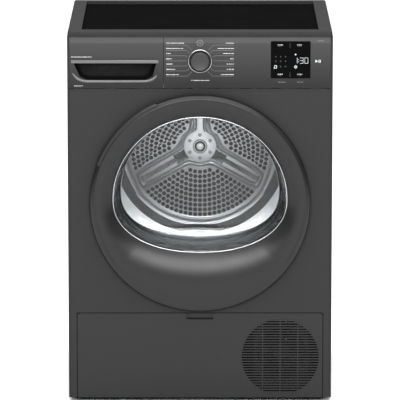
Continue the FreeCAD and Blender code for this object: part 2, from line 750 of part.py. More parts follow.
def drum_belt():
    """Flat ribbed belt round the drum, the motor pulley and the tensioner."""
    y = d.belt_y.value
    circles = [(0, d.drum_z.value, d.drum_radius.value), (d.motor_x.value, d.motor_z.value, d.pulley_radius.value),
               idler_circle()]

    def loop(gap):
        discs = [Part.makeCylinder(radius + gap, d.belt_width.value, Vector(x, y, z), Vector(0, 1, 0))
                 for x, z, radius in circles]
        return discs[0].fuse(discs[1:] + spans(circles, gap, y))

    band = loop(0.35 + d.belt_thick.value).cut(loop(0.35))
    return shaped("drum_belt", band.removeSplitter())


def idler_circle():
    return d.motor_x.value - 62, d.motor_z.value + 20, d.idler_radius.value


def spans(circles, gap, y):
    """Solids that fill the room between neighbouring circles up to their outer tangents."""
    filled = []
    for (x1, z1, r1), (x2, z2, r2) in zip(circles, circles[1:] + circles[:1]):
        r1, r2 = r1 + gap, r2 + gap
        distance = math.hypot(x2 - x1, z2 - z1)
        heading = math.atan2(z2 - z1, x2 - x1)
        lean = math.acos((r1 - r2) / distance)
        corners = []
        for turn, x, z, radius in ((lean, x1, z1, r1), (lean, x2, z2, r2), (-lean, x2, z2, r2),
                                   (-lean, x1, z1, r1)):
            way = heading + turn
            corners.append(Vector(x + radius * math.cos(way), y, z + radius * math.sin(way)))
        face = Part.Face(Part.makePolygon(corners + corners[:1]))
        filled.append(face.extrude(Vector(0, d.belt_width.value, 0)))
    middle = [Vector(x, y, z) for x, z, _ in circles]
    filled.append(Part.Face(Part.makePolygon(middle + middle[:1])).extrude(Vector(0, d.belt_width.value, 0)))
    return filled


def motor():
    """Drive motor: two-ended shaft, belt pulley at the front end and a fan wheel at the back."""
    x, z, y = d.motor_x, d.motor_z, d.belt_y
    can = cut(rod("y", x, y + 26, z, 52, 96), rod("y", x, y + 25, z, 8 + 0.4, 100))
    fins = [ring("y", x, y + 36 + 12 * n, z, 55, 50, 4) for n in range(7)]
    node("drive_motor", cut(fuse(can, *fins), rod("y", x, y + 25, z, 8 + 0.4, 100)))
    bracket = cut(fuse(block(x - 60, x + 60, y + 40, y + 110, tray_top, tray_top + 3),
                       block(x - 60, x - 56, y + 40, y + 110, tray_top, z + 10),
                       block(x + 56, x + 60, y + 40, y + 110, tray_top, z + 10)),
                  rod("y", x, y, z, 55.3, 200))
    ix, iz, _ = idler_circle()
    post = fuse(rod("y", ix, y + 6, iz - 52, 5, 34),
                block(ix - 12, ix + 8, y + 28, y + 39.8, tray_top, iz - 40))
    node("motor_bracket", group(bracket, post))
    shaft = rod("y", x, y - 8, z, 5, 150)
    pulley = fuse(rod("y", x, y, z, d.pulley_radius, d.belt_width), rod("y", x, y - 3, z, 10, 2.6),
                  rod("y", x, y + d.belt_width + 0.4, z, 10, 2.6))
    node("motor_pulley_shaft", fuse(shaft, pulley))


def tensioner():
    """Sprung arm with the idler pulley that keeps the belt tight."""
    x, z, _ = idler_circle()
    y = d.belt_y
    wheel = ring("y", x, y - 1, z, d.idler_radius, 4 + d.running_gap, d.belt_width + 2)
    node("idler_pulley", wheel)
    pin = rod("y", x, y - 4, z, 4, 24)
    arm = block(x - 9, x + 9, y + 12, y + 16, z - 58, z + 9)
    pivot = rod("y", x, y + 12, z - 52, 9, 10)
    bore = rod("y", x, y, z - 52, 5 + d.running_gap, 40)
    node("idler_arm", cut(fuse(arm, pin, pivot), bore))


# --- controls and water tank ----------------------------------------------------------------

def fascia_profile(body, x0, x1, thick):
    """Curved control fascia section padded from x0 to x1: flat face, rounded top edge."""
    low, top = d.fascia_bottom + 0.6, worktop_low - 0.5
    sketch = new_sketch(body, "YZ_Plane", x0)
    draw_polygon(sketch, [(front, low), (front, top - 14), (front + 1.4, top - 5), (front + 4, top),
                          (front + 26, top),
                          (front + 26, top - thick), (front + 5, top - thick), (front + 1.6 + thick, top - 6),
                          (front + thick, top - 15), (front + thick, low + thick), (front + 12, low + thick),
                          (front + 12, low)])
    pad(body, sketch, size(x1) - x0)


def control_fascia():
    """Right-hand part of the front strip, with openings for the dial shaft and the display."""
    body = new_body("control_fascia")
    fascia_profile(body, d.split_x + 0.5, half - d.edge_nose - 0.4, 2.5)
    openings = new_sketch(body, "XZ_Plane", 0)
    draw_circle(openings, 0, d.knob_z, 9)
    draw_polygon(openings, rectangle(d.display_left + 4, d.display_right - 4,
                                     d.display_low + 4, d.display_high - 4))
    pocket_through(body, openings)
    node("display_window", fuse(
        block(d.display_left, d.display_right, front - 0.8, front - 0.05, d.display_low, d.display_high),
        block(d.display_left + 4.3, d.display_right - 4.3, front - 0.1, front + 3, d.display_low + 4.3,
              d.display_high - 4.3)))


def boards():
    """Display board behind the window and the main board behind the fascia."""
    display = block(d.display_left - 4, d.display_right + 30, front + 8, front + 9.6,
                    d.display_low - 2, d.display_high - 4)
    main = block(40, 140, front + 20, front + 21.6, d.fascia_bottom + 14, d.display_high - 6)
    parts = [block(52 + 24 * n, 68 + 24 * n, front + 21.6, front + 33, 752, 790) for n in range(3)]
    z = d.knob_z
    encoder = cut(block(-9, 9, front + 6, front + 14, z - 9, z + 9),
                  rod("y", 0, front + 4, z, 3 + d.running_gap, 20))
    node("circuit_boards", group(display, fuse(main, *parts), encoder))


def knob():
    """Programme dial: fixed ring, turning cap with a pointer, and the encoder behind."""
    z = d.knob_z
    node("knob_ring", cut(rod("y", 0, front - 4, z, d.knob_ring_radius, 3.9),
                          rod("y", 0, front - 5, z, d.knob_radius + 1.2, 8)))
    cap = cut(fuse(rod("y", 0, front - 16, z, d.knob_radius, 15.4), cone("y", 0, front - 18, z, 19, 21, 2)),
              cone("y", 0, front - 18.1, z, 17, 14, 2.6))
    pointer = block(-1.4, 1.4, front - 16.4, front - 15, z + 6, z + 14.5)
    spindle = rod("y", 0, front - 1, z, 3, 14)
    node("program_knob", fuse(cap, pointer, spindle))


def tank_outline():
    """Cross-section of the water tank: its floor slopes to clear the drum."""
    left, right = -half + 11, d.split_x - 16
    low, top = d.fascia_bottom + 24, worktop_low - 14
    return [(left, low), (left + 86, low), (right, low + 45), (right, top), (left, top)]


def water_tank():
    """Blow-moulded tank: a closed shell with a filling dimple on top."""
    outer = tank_outline()
    y0 = front + 20
    body = new_body("water_tank")
    sketch = new_sketch(body, "XZ_Plane", -y0 - d.tank_length)
    draw_polygon(sketch, outer)
    pad(body, sketch, d.tank_length)
    dimple = new_sketch(body, "XY_Plane", worktop_low - 14)
    draw_circle(dimple, -190, y0 + d.tank_length - 60, 16)
    thing = body.newObject("PartDesign::Pocket", "dimple")
    thing.Profile = dimple
    bind(thing, Length=8)
    body.Tip = thing


def tank_drawer():
    """Front of the tank drawer: a strip of the fascia with a scooped finger grip under a bar."""
    body = new_body("tank_drawer_front")
    fascia_profile(body, -half + d.edge_nose + 0.4, d.split_x - 0.5, 2.5)
    scoop_x0, scoop_x1 = -284, -98
    opening = new_sketch(body, "XZ_Plane", 0)
    draw_polygon(opening, [(scoop_x0, 778), (scoop_x0 + 14, 748), (scoop_x0 + 30, 740), (scoop_x1 - 24, 740),
                           (scoop_x1 - 8, 748), (scoop_x1, 778)])
    pocket_through(body, opening)
    pocket = cut(block(scoop_x0 - 2, scoop_x1 + 2, front + 2.6, front + 19, 738, 782),
                 block(scoop_x0, scoop_x1, front + 1, front + 17, 740, 780))
    bar = block(-290, -93, front - 3.2, front - 0.1, 778.5, 785.5)
    node("tank_handle", group(pocket, bar))


def tank_guide():
    """Open tray that the tank slides in, fixed between the front beam and the rear rail."""
    points = tank_outline()
    wall, gap = 2, 1.2
    body = new_body("tank_guide")
    (x0, low), (x1, _), (x2, knee), (_, top), _ = points
    inner = [(x0 - gap, top - 20), (x0 - gap, low - gap), (x1 + gap * 0.4, low - gap), (x2 + gap, knee - gap),
             (x2 + gap, top - 20)]
    outer = [(x2 + gap + wall, top - 20), (x2 + gap + wall, knee - gap - wall),
             (x1 + gap * 0.4, low - gap - wall), (x0 - gap - wall, low - gap - wall), (x0 - gap - wall, top - 20)]
    sketch = new_sketch(body, "XZ_Plane", -front - d.tank_length - 30)
    draw_polygon(sketch, inner + outer)
    pad(body, sketch, d.tank_length - 10)


# --- heat pump in the base ------------------------------------------------------------------

def heat_exchangers():
    """Evaporator and condenser: fin packs between end plates, in the process air channel."""
    for label, y0, depth in (("evaporator", -150, 66), ("condenser", -66, 110)):
        low, top = tray_top + 2, d.duct_top - 10
        fins = [block(-262 + 6 * n, -260.6 + 6 * n, y0, y0 + depth, low, top) for n in range(36)]
        tubes = [rod("x", -266, y0 + 14 + 24 * k, low + 16 + 26 * j, 4, 228)
                 for k in range(int(depth / 26)) for j in range(5)]
        ends = [block(-268, -266, y0 - 2, y0 + depth + 2, low - 1, top + 1),
                block(-40, -38, y0 - 2, y0 + depth + 2, low - 1, top + 1)]
        node(label, fuse(*fins, *tubes, *ends))


def air_duct():
    """Cover that makes the air channel over the two heat exchangers, open at both ends."""
    x0, x1 = -276, -30
    outer = block(x0, x1, front + 34, 70, tray_top + 0.2, d.duct_top - 4)
    hollow = block(x0 + 3, x1 - 3, front + 33, 67, tray_top - 1, d.duct_top - 7)
    outlet = block(x0 + 40, x1 - 60, 60, 80, tray_top + 30, d.duct_top - 30)
    pipe_holes = [rod("x", x1 - 5, 10, 120, 4.4, 8), rod("x", x1 - 5, -140, 130, 4.4, 8)]
    node("air_duct", group(cut(outer, hollow, outlet, *pipe_holes), *process_fan()))
    screen = cut(block(x0 + 6, x1 - 6, -204, -196, tray_top + 2, d.duct_top - 12),
                 *[block(x0 + 12 + 45 * n, x0 + 52 + 45 * n, -206, -194, tray_top + 8, d.duct_top - 18) for n in range(5)])
    node("exchanger_filter", screen)


def compressor():
    """Hermetic compressor can on three rubber grommets."""
    x, y = 140, -100
    low = d.foot_gap + 3 + 3 + 14
    can = fuse(rod("z", x, y, low + 22, 56, 100), cone("z", x, y, low + 12, 44, 56, 10),
               cone("z", x, y, low + 122, 56, 30, 14), block(x - 68, x + 68, y - 58, y + 58, low + 8, low + 12))
    stub = fuse(rod("z", x - 30, y, low + 130, 4, 16), rod("z", x + 24, y + 10, low + 130, 4, 16))
    mounts = [cut(rod("z", px, py, low + 0.1, 11, 7.8), rod("z", px, py, low - 1, 3, 12))
              for px in (80, 200) for py in (-150, -50)]
    node("compressor", group(fuse(can, stub), *mounts))


def refrigerant_pipes():
    """Copper lines from the compressor to the two exchangers."""
    def pipe(points, radius):
        path = [Vector(*point) for point in points]
        edges = [Part.makeLine(a, b) for a, b in zip(path, path[1:])]
        first = Part.Wire([Part.Circle(path[0], path[1] - path[0], radius).toShape()])
        return Part.Wire(edges).makePipeShell([first], True, False, 1)

    top = 186
    hot = pipe([(110, -100, 177), (110, -100, top), (0, -100, top), (0, 10, top), (0, 10, 120),
                (-37.8, 10, 120)], 4)
    cold = pipe([(164, -90, 177), (164, -90, top + 12), (12, -90, top + 12), (12, -140, top + 12),
                 (12, -140, 130),
                 (-37.8, -140, 130)], 4)
    return shaped("refrigerant_pipes", Part.makeCompound([hot, cold]))


def cooling_fan():
    """Small axial fan in a square frame that blows air over the compressor."""
    x, y, z = 185, front + 40, 108
    frame = cut(block(x - 62, x + 62, y, y + 24, z - 60, z + 62), rod("y", x, y - 1, z, 56, 30))
    cross = fuse(block(x - 58, x + 58, y + 20, y + 23, z - 4, z + 4),
                 block(x - 4, x + 4, y + 20, y + 23, z - 58, z + 58))
    motor_seat = cut(rod("y", x, y + 17.5, z, 20, 6), rod("y", x, y + 16, z, 3 + d.running_gap, 4))
    node("cooling_fan_frame", fuse(frame, cross, motor_seat))
    blades = []
    for index in range(7):
        blade = block(14, 51, -1, 1, -11, 11)
        angle = 360 / 7 * index
        turn = Rotation(Vector(0, 1, 0), angle) * Rotation(Vector(1, 0, 0), 52)
        centre = turn.multVec(Vector(14, -1, -11))
        move(blade, size(centre.x) + x, size(centre.y) + (y + 8), size(centre.z) + z, turn)
        blades.append(blade)
    wheel = fuse(rod("y", x, y + 1, z, 18, 15), rod("y", x, y + 16, z, 3, 3), *blades)
    node("cooling_fan_wheel", wheel)


def process_fan():
    """Radial fan behind the air duct, in a housing that leads up to the rear channel."""
    x, y, z = -150, 96, 122
    housing = cut(fuse(rod("y", x, y, z, 84, 70), block(x - 60, x + 20, y, y + 70, z, z + 116)),
                  rod("y", x, y + 3, z, 80, 64), block(x - 57, x + 17, y + 3, y + 67, z, z + 118),
                  rod("y", x, y - 5, z, 46, 12))
    vanes = []
    for index in range(18):
        turn = Rotation(Vector(0, 1, 0), 20 * index)
        corner = turn.multVec(Vector(50, 0, -1))
        vane = block(0, 22, 0, 44, 0, 2)
        vanes.append(move(vane, size(corner.x) + x, size(y + 10), size(corner.z) + z, turn))
    wheel = fuse(rod("y", x, y + 54, z, 73, 2.4), ring("y", x, y + 9, z, 73, 49, 2), *vanes,
                 rod("y", x, y + 30, z, 12, 26))
    node("process_fan_wheel", cut(wheel, rod("y", x, y + 20, z, 4, 26)))
    fan_motor = rod("y", x, y + 70.2, z, 36, 40)
    return housing, fan_motor


def drain():
    """Condensate pump that stands in the sump."""
    x, y = -40, rear - 55
    pump = fuse(rod("z", x, y, 21, 24, 6), rod("z", x, y, 27, 16, 40), rod("x", x + 14, y, 60, 4, 20))
    return node("condensate_pump", pump)


def rear_outlets():
    """Drain spigot, and the terminal box with its cord gland, on the rear panel."""
    x, z = OUTLET_X, DRAIN_Z
    spigot = cut(fuse(rod("y", x, rear - 12, z, 14, 9), rod("y", x, rear - 12, z, 5.5, 19.5)),
                 rod("y", x, rear - 13, z, 3.5, 24))
    z = CORD_Z
    box = cut(block(x - 34, x + 24, rear - 44, rear - 3, z - 24, z + 24),
              block(x - 31, x + 21, rear - 41, rear - 6, z - 21, z + 21))
    flange = block(x - 35, half - 2, rear - 3.2, rear - 1.4, z - 25, z + 25)
    return node("rear_outlets", group(spigot, cut(fuse(box, flange), rod("y", x, rear - 8, z, 6.5, 12))))


# --- kick plate -----------------------------------------------------------------------------


def kick_pivot():
    """Height and depth of the axis that the kick plate folds down about."""
    return front + 7, d.foot_gap + 11


def grille_outline(y0, depth, inset):
    """Disc of the air intake, cut off flat at the top and the bottom."""
    high = GRILLE_HALF_HEIGHT - inset
    reach = GRILLE_RADIUS - inset
    return common(rod("y", GRILLE_X, y0, GRILLE_Z, reach, depth),
                  block(GRILLE_X - reach - 1, GRILLE_X + reach + 1, y0 - 1, y0 + depth + 1,
                        GRILLE_Z - high, GRILLE_Z + high))


def kick_plate():
    """Cover of the base: moulded sheet with a finger grip, stiffening ribs and two pivot pins."""
    side = d.kick_width / 2
    back = front + d.kick_thick
    y, z = kick_pivot()
    sheet_face = cut(block(-side, side, front, front + 3, d.foot_gap, d.kick_top),
                     grille_outline(front - 1, 6, -0.2),
                     block(-30, 30, front - 1, front + 4, d.kick_top - 15, d.kick_top + 1))
    lug_slots = [block(x - 1.5, x + KICK_LUG_WIDTH + 1.5, front + 3, back + 1, d.foot_gap, d.foot_gap + 6)
                 for x in (-KICK_LUG_X - KICK_LUG_WIDTH, KICK_LUG_X)]
    low_rib = cut(block(-side + 2, side - 2, front + 2.5, back, d.foot_gap + 2, d.foot_gap + 5), *lug_slots)
    ribs = [block(-side + 2, -side + 5, front + 2.5, back, d.foot_gap + 2, d.kick_top - 2),
            block(side - 5, side - 2, front + 2.5, back, d.foot_gap + 2, d.kick_top - 2),
            cut(block(-36, 36, front + 2.5, back, d.kick_top - 20, d.kick_top - 1),
                block(-33, 33, front + 2, back - 2, d.kick_top - 17, d.kick_top + 1))]
    pins = [rod("x", -side + 3, y, z, KICK_PIN_RADIUS, 17), rod("x", side - 20, y, z, KICK_PIN_RADIUS, 17)]
    node("kick_plate", fuse(sheet_face, low_rib, *ribs, *pins))


def kick_grille():
    """Round slatted air intake set in the kick plate."""
    x, z, reach = GRILLE_X, GRILLE_Z, GRILLE_RADIUS
    pitch = 5.95
    rim = cut(grille_outline(front - 0.4, 5, 0), grille_outline(front - 1, 7, 3.5))
    slats = [block(x - reach, x + reach, front + 0.2, front + 5, z + pitch * n, z + pitch * n + 3)
             for n in range(-15, 15)]
    stiles = [block(x + off - 1.5, x + off + 1.5, front + 3, front + 5, z - reach, z + reach)
              for off in (-40, 0, 40)]
    field = common(fuse(*slats, *stiles), grille_outline(front - 1, 12, 2))
    node("kick_grille", fuse(rim, field))


def kick_brackets():
    """Lugs on the tray's front wall that hold the kick plate's pins."""
    y, z = kick_pivot()
    lugs = []
    for x in (-KICK_LUG_X - KICK_LUG_WIDTH, KICK_LUG_X):
        eye = rod("x", x, y, z, KICK_LUG_RADIUS, KICK_LUG_WIDTH)
        arm = block(x, x + KICK_LUG_WIDTH, y, front + 21, z - 2.5, z + KICK_LUG_RADIUS)
        bore = rod("x", x - 1, y, z, KICK_PIN_RADIUS + d.running_gap, KICK_LUG_WIDTH + 2)
        lugs.append(cut(fuse(eye, arm), bore))
    return lugs


# --- make, check and write -------------------------------------------------------------------

def check_document():
    doc.recompute()
    for item in doc.Objects:
        if "Invalid" in item.State or "Error" in item.State:
            raise RuntimeError(f"{item.Label} failed: {item.State}")
    for piece in nodes:
        if piece.Shape.isNull() or not piece.Shape.isValid() or not piece.Shape.Solids:
            raise RuntimeError(f"{piece.Label} has no valid solid")


def write_parts():
    os.makedirs("parts", exist_ok=True)
    for piece in nodes:
        piece.Shape.exportStep(f"parts/{piece.Label}.step")
        box = piece.Shape.BoundBox
        print(f"{piece.Label:24} solids {len(piece.Shape.Solids):3}  volume {piece.Shape.Volume / 1000:9.1f} cm3  "
              f"y {box.YMin:7.1f} {box.YMax:7.1f}  z {box.ZMin:6.1f} {box.ZMax:6.1f}")
    print(len(nodes), "nodes")


side_panel("side_panel_left", -1)
side_panel("side_panel_right", 1)
front_panel()
rear_panel()
rear_duct_cover()
cross_rails()
worktop()
base_tray()
feet()
door_outer_ring()
door_inner_frame()
door_window_trim()
door_glass()
latch()
front_bulkhead()
lint_filter()
drum_lamp()
drum_shell()
drum_back_plate()
drum_spider()
drum_hub()
drum_lifters()
rear_bearing()
support_rollers()
drum_belt()
motor()
tensioner()
control_fascia()
boards()
knob()
water_tank()
tank_drawer()
tank_guide()
heat_exchangers()
air_duct()
compressor()
refrigerant_pipes()
cooling_fan()
drain()
rear_outlets()
kick_plate()
kick_grille()
check_document()
write_parts()
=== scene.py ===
import json
import math
import random

import bmesh
import bpy
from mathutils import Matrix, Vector


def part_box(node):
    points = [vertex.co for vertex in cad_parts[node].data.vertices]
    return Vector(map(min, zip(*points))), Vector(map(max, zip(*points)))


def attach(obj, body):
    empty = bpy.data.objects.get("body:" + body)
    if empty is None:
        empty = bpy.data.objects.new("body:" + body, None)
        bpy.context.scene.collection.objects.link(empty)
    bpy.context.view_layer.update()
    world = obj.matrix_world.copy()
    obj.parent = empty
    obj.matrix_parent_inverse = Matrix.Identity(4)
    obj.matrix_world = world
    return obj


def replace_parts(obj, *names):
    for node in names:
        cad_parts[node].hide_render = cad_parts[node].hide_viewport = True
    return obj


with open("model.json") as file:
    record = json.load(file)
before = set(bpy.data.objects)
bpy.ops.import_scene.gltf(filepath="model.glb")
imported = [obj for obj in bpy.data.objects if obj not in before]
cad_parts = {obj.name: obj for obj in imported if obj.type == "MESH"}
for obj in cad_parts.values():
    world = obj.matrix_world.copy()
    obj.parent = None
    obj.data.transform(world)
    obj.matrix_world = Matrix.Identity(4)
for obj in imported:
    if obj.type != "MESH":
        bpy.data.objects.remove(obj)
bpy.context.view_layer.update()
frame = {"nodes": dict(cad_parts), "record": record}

# Looks of a free-standing heat pump clothes dryer. Metres, +Z up, front faces -Y, floor at Z = 0.

NODES = frame["nodes"]
MM = 0.001
random.seed(7)


def corners(node):
    """Lowest and highest corner of a CAD node."""
    low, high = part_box(node)
    return Vector(low), Vector(high)


def middle(node):
    low, high = corners(node)
    return (low + high) / 2


FASCIA_LOW, FASCIA_HIGH = corners("control_fascia")
RING_LOW, RING_HIGH = corners("door_outer_ring")
FRONT = FASCIA_LOW.y                                # the cabinet's front plane
DOOR = Vector((0.0, RING_LOW.y, (RING_LOW.z + RING_HIGH.z) / 2))
DOOR_RADIUS = (RING_HIGH.z - RING_LOW.z) / 2
DRUM = middle("drum_back_plate")
KNOB = middle("program_knob")


# --- materials ------------------------------------------------------------------------------

class Shader:
    """A node material with a Principled shader, built a few nodes at a time."""

    def __init__(self, name, colour, roughness=0.5, metallic=0.0, **sockets):
        self.material = bpy.data.materials.new(name)
        self.material.use_nodes = True
        self.tree = self.material.node_tree
        self.principled = self.tree.nodes["Principled BSDF"]
        self.set("Base Color", (*colour, 1.0))
        self.set("Roughness", roughness)
        self.set("Metallic", metallic)
        for socket, value in sockets.items():
            self.set(socket.replace("_", " "), value)
        self.colour, self.roughness = colour, roughness
        self.height = None

    def set(self, socket, value):
        self.principled.inputs[socket].default_value = value

    def add(self, kind, **settings):
        node = self.tree.nodes.new(kind)
        for key, value in settings.items():
            setattr(node, key, value)
        return node

    def link(self, source, target):
        self.tree.links.new(source, target)

    def place(self, scale=(1, 1, 1)):
        """Object coordinates, stretched by scale."""
        coords = self.add("ShaderNodeTexCoord")
        mapping = self.add("ShaderNodeMapping")
        mapping.inputs["Scale"].default_value = scale
        self.link(coords.outputs["Object"], mapping.inputs["Vector"])
        return mapping.outputs["Vector"]

    def noise(self, size, detail=3.0, stretch=(1, 1, 1)):
        """Noise whose features are about size metres across."""
        node = self.add("ShaderNodeTexNoise")
        node.inputs["Scale"].default_value = 1.0 / size
        node.inputs["Detail"].default_value = detail
        self.link(self.place(stretch), node.inputs["Vector"])
        return node.outputs["Fac"]

    def spread(self, source, low, high):
        node = self.add("ShaderNodeMapRange")
        node.inputs["From Min"].default_value = 0.25
        node.inputs["From Max"].default_value = 0.75
        node.inputs["To Min"].default_value = low
        node.inputs["To Max"].default_value = high
        self.link(source, node.inputs["Value"])
        return node.outputs["Result"]

    def vary_roughness(self, size, amount, stretch=(1, 1, 1)):
        source = self.noise(size, stretch=stretch)
        self.link(self.spread(source, self.roughness - amount, self.roughness + amount),
                  self.principled.inputs["Roughness"])
        return self

    def vary_colour(self, size, amount, stretch=(1, 1, 1)):
        ramp = self.add("ShaderNodeMix", data_type="RGBA")
        dark = [c * (1 - amount) for c in self.colour]
        light = [min(1.0, c * (1 + amount)) for c in self.colour]
        ramp.inputs["A"].default_value = (*dark, 1)
        ramp.inputs["B"].default_value = (*light, 1)
        self.link(self.spread(self.noise(size, stretch=stretch), 0.0, 1.0), ramp.inputs["Factor"])
        self.link(ramp.outputs["Result"], self.principled.inputs["Base Color"])
        return self

    def bump(self, source, depth, strength=1.0):
        node = self.add("ShaderNodeBump")
        node.inputs["Distance"].default_value = depth
        node.inputs["Strength"].default_value = strength
        self.link(source, node.inputs["Height"])
        if self.height is not None:
            self.link(self.height, node.inputs["Normal"])
        self.height = node.outputs["Normal"]
        self.link(self.height, self.principled.inputs["Normal"])
        return self

    def orange_peel(self, size=0.0016, depth=0.00001):
        """The faint pebbled surface of powder coat or moulded plastic."""
        return self.bump(self.noise(size, 2.0), depth)


def painted_metal():
    shader = Shader("painted_metal", (0.0135, 0.0136, 0.014), 0.45, Specular_IOR_Level=0.2)
    shader.vary_roughness(0.06, 0.03).vary_colour(0.2, 0.02).orange_peel(0.0022, 0.000004)
    return shader.material


def moulded_grey():
    shader = Shader("moulded_grey", (0.0072, 0.0073, 0.0075), 0.3, Specular_IOR_Level=0.3)
    shader.vary_roughness(0.04, 0.02).vary_colour(0.15, 0.02).orange_peel(0.0009, 0.000003)
    return shader.material


def moulded_top():
    shader = Shader("moulded_top", (0.019, 0.0191, 0.0195), 0.5, Specular_IOR_Level=0.1)
    shader.vary_roughness(0.05, 0.03).vary_colour(0.1, 0.02).orange_peel(0.001, 0.000003)
    return shader.material


def board_laminate():
    shader = Shader("board_laminate", (0.0016, 0.0016, 0.0017), 0.6, Specular_IOR_Level=0.005)
    shader.vary_roughness(0.08, 0.05).vary_colour(0.012, 0.06).orange_peel(0.0007, 0.000002)
    return shader.material


def inner_dark():
    shader = Shader("inner_dark", (0.02, 0.02, 0.021), 0.55)
    shader.vary_roughness(0.03, 0.06).vary_colour(0.05, 0.08).orange_peel(0.0012, 0.00002)
    return shader.material


def light_plastic():
    shader = Shader("light_plastic", (0.62, 0.62, 0.6), 0.45)
    shader.vary_roughness(0.03, 0.05).vary_colour(0.09, 0.03).orange_peel(0.001, 0.00001)
    return shader.material


def milky_tank():
    shader = Shader("milky_tank", (0.55, 0.57, 0.58), 0.38, Subsurface_Weight=0.2)
    shader.vary_roughness(0.03, 0.06).vary_colour(0.07, 0.04).orange_peel(0.004, 0.00003)
    return shader.material


def stainless():
    shader = Shader("stainless", (0.66, 0.66, 0.665), 0.26, 1.0)
    brush = (1, 0.02, 1)
    shader.vary_roughness(0.0012, 0.07, brush).vary_colour(0.02, 0.05, brush)
    shader.bump(shader.noise(0.0008, 2.0, brush), 0.000006)
    return shader.material


def drum_steel():
    shader = Shader("drum_steel", (0.36, 0.36, 0.365), 0.34, 1.0)
    shader.vary_roughness(0.004, 0.06).vary_colour(0.03, 0.08).orange_peel(0.0015, 0.00001)
    return shader.material


def steel_painted_shade():
    # A dark copy of the drum's steel: painted shade on the rear cone and in the arm channels.
    shader = Shader("steel_painted_shade", (0.085, 0.085, 0.087), 0.3, 1.0)
    shader.vary_roughness(0.004, 0.05).vary_colour(0.03, 0.08).orange_peel(0.0015, 0.00001)
    return shader.material


def fascia_grey_painted_top_light():
    """Satin moulding, a little lighter towards its top edge; that change is painted light from above."""
    shader = Shader("fascia_grey_painted_top_light", (0.02, 0.0201, 0.0205), 0.42, Specular_IOR_Level=0.2)
    shader.vary_roughness(0.04, 0.02).orange_peel(0.0009, 0.000003)
    coords = shader.add("ShaderNodeTexCoord")
    split = shader.add("ShaderNodeSeparateXYZ")
    shader.link(coords.outputs["Object"], split.inputs["Vector"])
    height = shader.add("ShaderNodeMapRange")
    height.inputs["From Min"].default_value = FASCIA_LOW.z
    height.inputs["From Max"].default_value = FASCIA_HIGH.z
    shader.link(split.outputs["Z"], height.inputs["Value"])
    # Painted light: the base colour ramps from dark at the bottom to lighter at the top, by object height.
    ramp = shader.add("ShaderNodeMix", data_type="RGBA")
    ramp.inputs["A"].default_value = (0.0065, 0.0066, 0.0068, 1)
    ramp.inputs["B"].default_value = (0.036, 0.0362, 0.037, 1)
    shader.link(height.outputs["Result"], ramp.inputs["Factor"])
    shader.link(ramp.outputs["Result"], shader.principled.inputs["Base Color"])
    return shader.material


def satin_steel_and_painted_sheen():
    # Satin steel of the hub plate and bolt; on the drum's rear flare it is a bright copy of the drum steel,
    # a painted highlight.
    shader = Shader("satin_steel_and_painted_sheen", (0.94, 0.94, 0.95), 0.42, 0.8)
    shader.vary_roughness(0.003, 0.05).vary_colour(0.01, 0.06).orange_peel(0.0012, 0.00001)
    return shader.material


def polished_steel():
    shader = Shader("polished_steel", (0.34, 0.34, 0.345), 0.22, 1.0)
    along = (0.05, 1, 0.05)
    shader.vary_roughness(0.002, 0.05, along).vary_colour(0.015, 0.06)
    shader.bump(shader.noise(0.0015, 2.0, along), 0.000008)
    return shader.material


def galvanised():
    shader = Shader("galvanised", (0.42, 0.43, 0.44), 0.38, 1.0)
    cells = shader.add("ShaderNodeTexVoronoi")
    cells.inputs["Scale"].default_value = 55
    shader.link(shader.place(), cells.inputs["Vector"])
    shader.link(shader.spread(cells.outputs["Distance"], 0.3, 0.46), shader.principled.inputs["Roughness"])
    shader.vary_colour(0.012, 0.12).orange_peel(0.002, 0.00001)
    return shader.material


def bright_trim():
    shader = Shader("bright_trim", (0.45, 0.45, 0.455), 0.2, 1.0)
    shader.vary_roughness(0.01, 0.04).vary_colour(0.02, 0.03).orange_peel(0.001, 0.000002)
    return shader.material


def clear_glass():
    shader = Shader("clear_glass", (0.93, 0.95, 0.96), 0.02, 0.0, Transmission_Weight=1.0, IOR=1.3)
    shader.vary_roughness(0.05, 0.008)
    return shader.material


def rubber():
    shader = Shader("rubber", (0.012, 0.012, 0.012), 0.7)
    shader.vary_roughness(0.01, 0.08).vary_colour(0.02, 0.15).orange_peel(0.0015, 0.00003)
    return shader.material


def copper():
    shader = Shader("copper", (0.72, 0.34, 0.2), 0.3, 1.0)
    shader.vary_roughness(0.01, 0.08).vary_colour(0.02, 0.12).orange_peel(0.003, 0.00001)
    return shader.material


def fin_stock():
    shader = Shader("fin_stock", (0.7, 0.7, 0.71), 0.35, 1.0)
    shader.vary_roughness(0.01, 0.08).vary_colour(0.01, 0.06).orange_peel(0.002, 0.00001)
    return shader.material


def cast_black():
    shader = Shader("cast_black", (0.015, 0.015, 0.016), 0.35)
    shader.vary_roughness(0.02, 0.08).vary_colour(0.05, 0.1).orange_peel(0.003, 0.00004)
    return shader.material


def circuit_board():
    shader = Shader("circuit_board", (0.02, 0.13, 0.06), 0.35)
    shader.vary_roughness(0.004, 0.06).vary_colour(0.003, 0.3).orange_peel(0.002, 0.00003)
    return shader.material


def gloss_black():
    shader = Shader("gloss_black", (0.0015, 0.0015, 0.0016), 0.14, Specular_IOR_Level=0.02)
    shader.vary_roughness(0.03, 0.03).vary_colour(0.04, 0.1).orange_peel(0.004, 0.000001)
    return shader.material


def glow(name, colour, strength):
    shader = Shader(name, colour, 0.4, Emission_Color=(*colour, 1.0), Emission_Strength=strength)
    shader.vary_roughness(0.001, 0.05)
    return shader.material


def print_ink():
    shader = Shader("print_ink", (0.55, 0.55, 0.56), 0.5)
    shader.vary_roughness(0.002, 0.05).vary_colour(0.003, 0.05)
    return shader.material


def faint_ink():
    shader = Shader("faint_ink", (0.16, 0.16, 0.165), 0.5)
    shader.vary_roughness(0.002, 0.05).vary_colour(0.003, 0.06)
    return shader.material


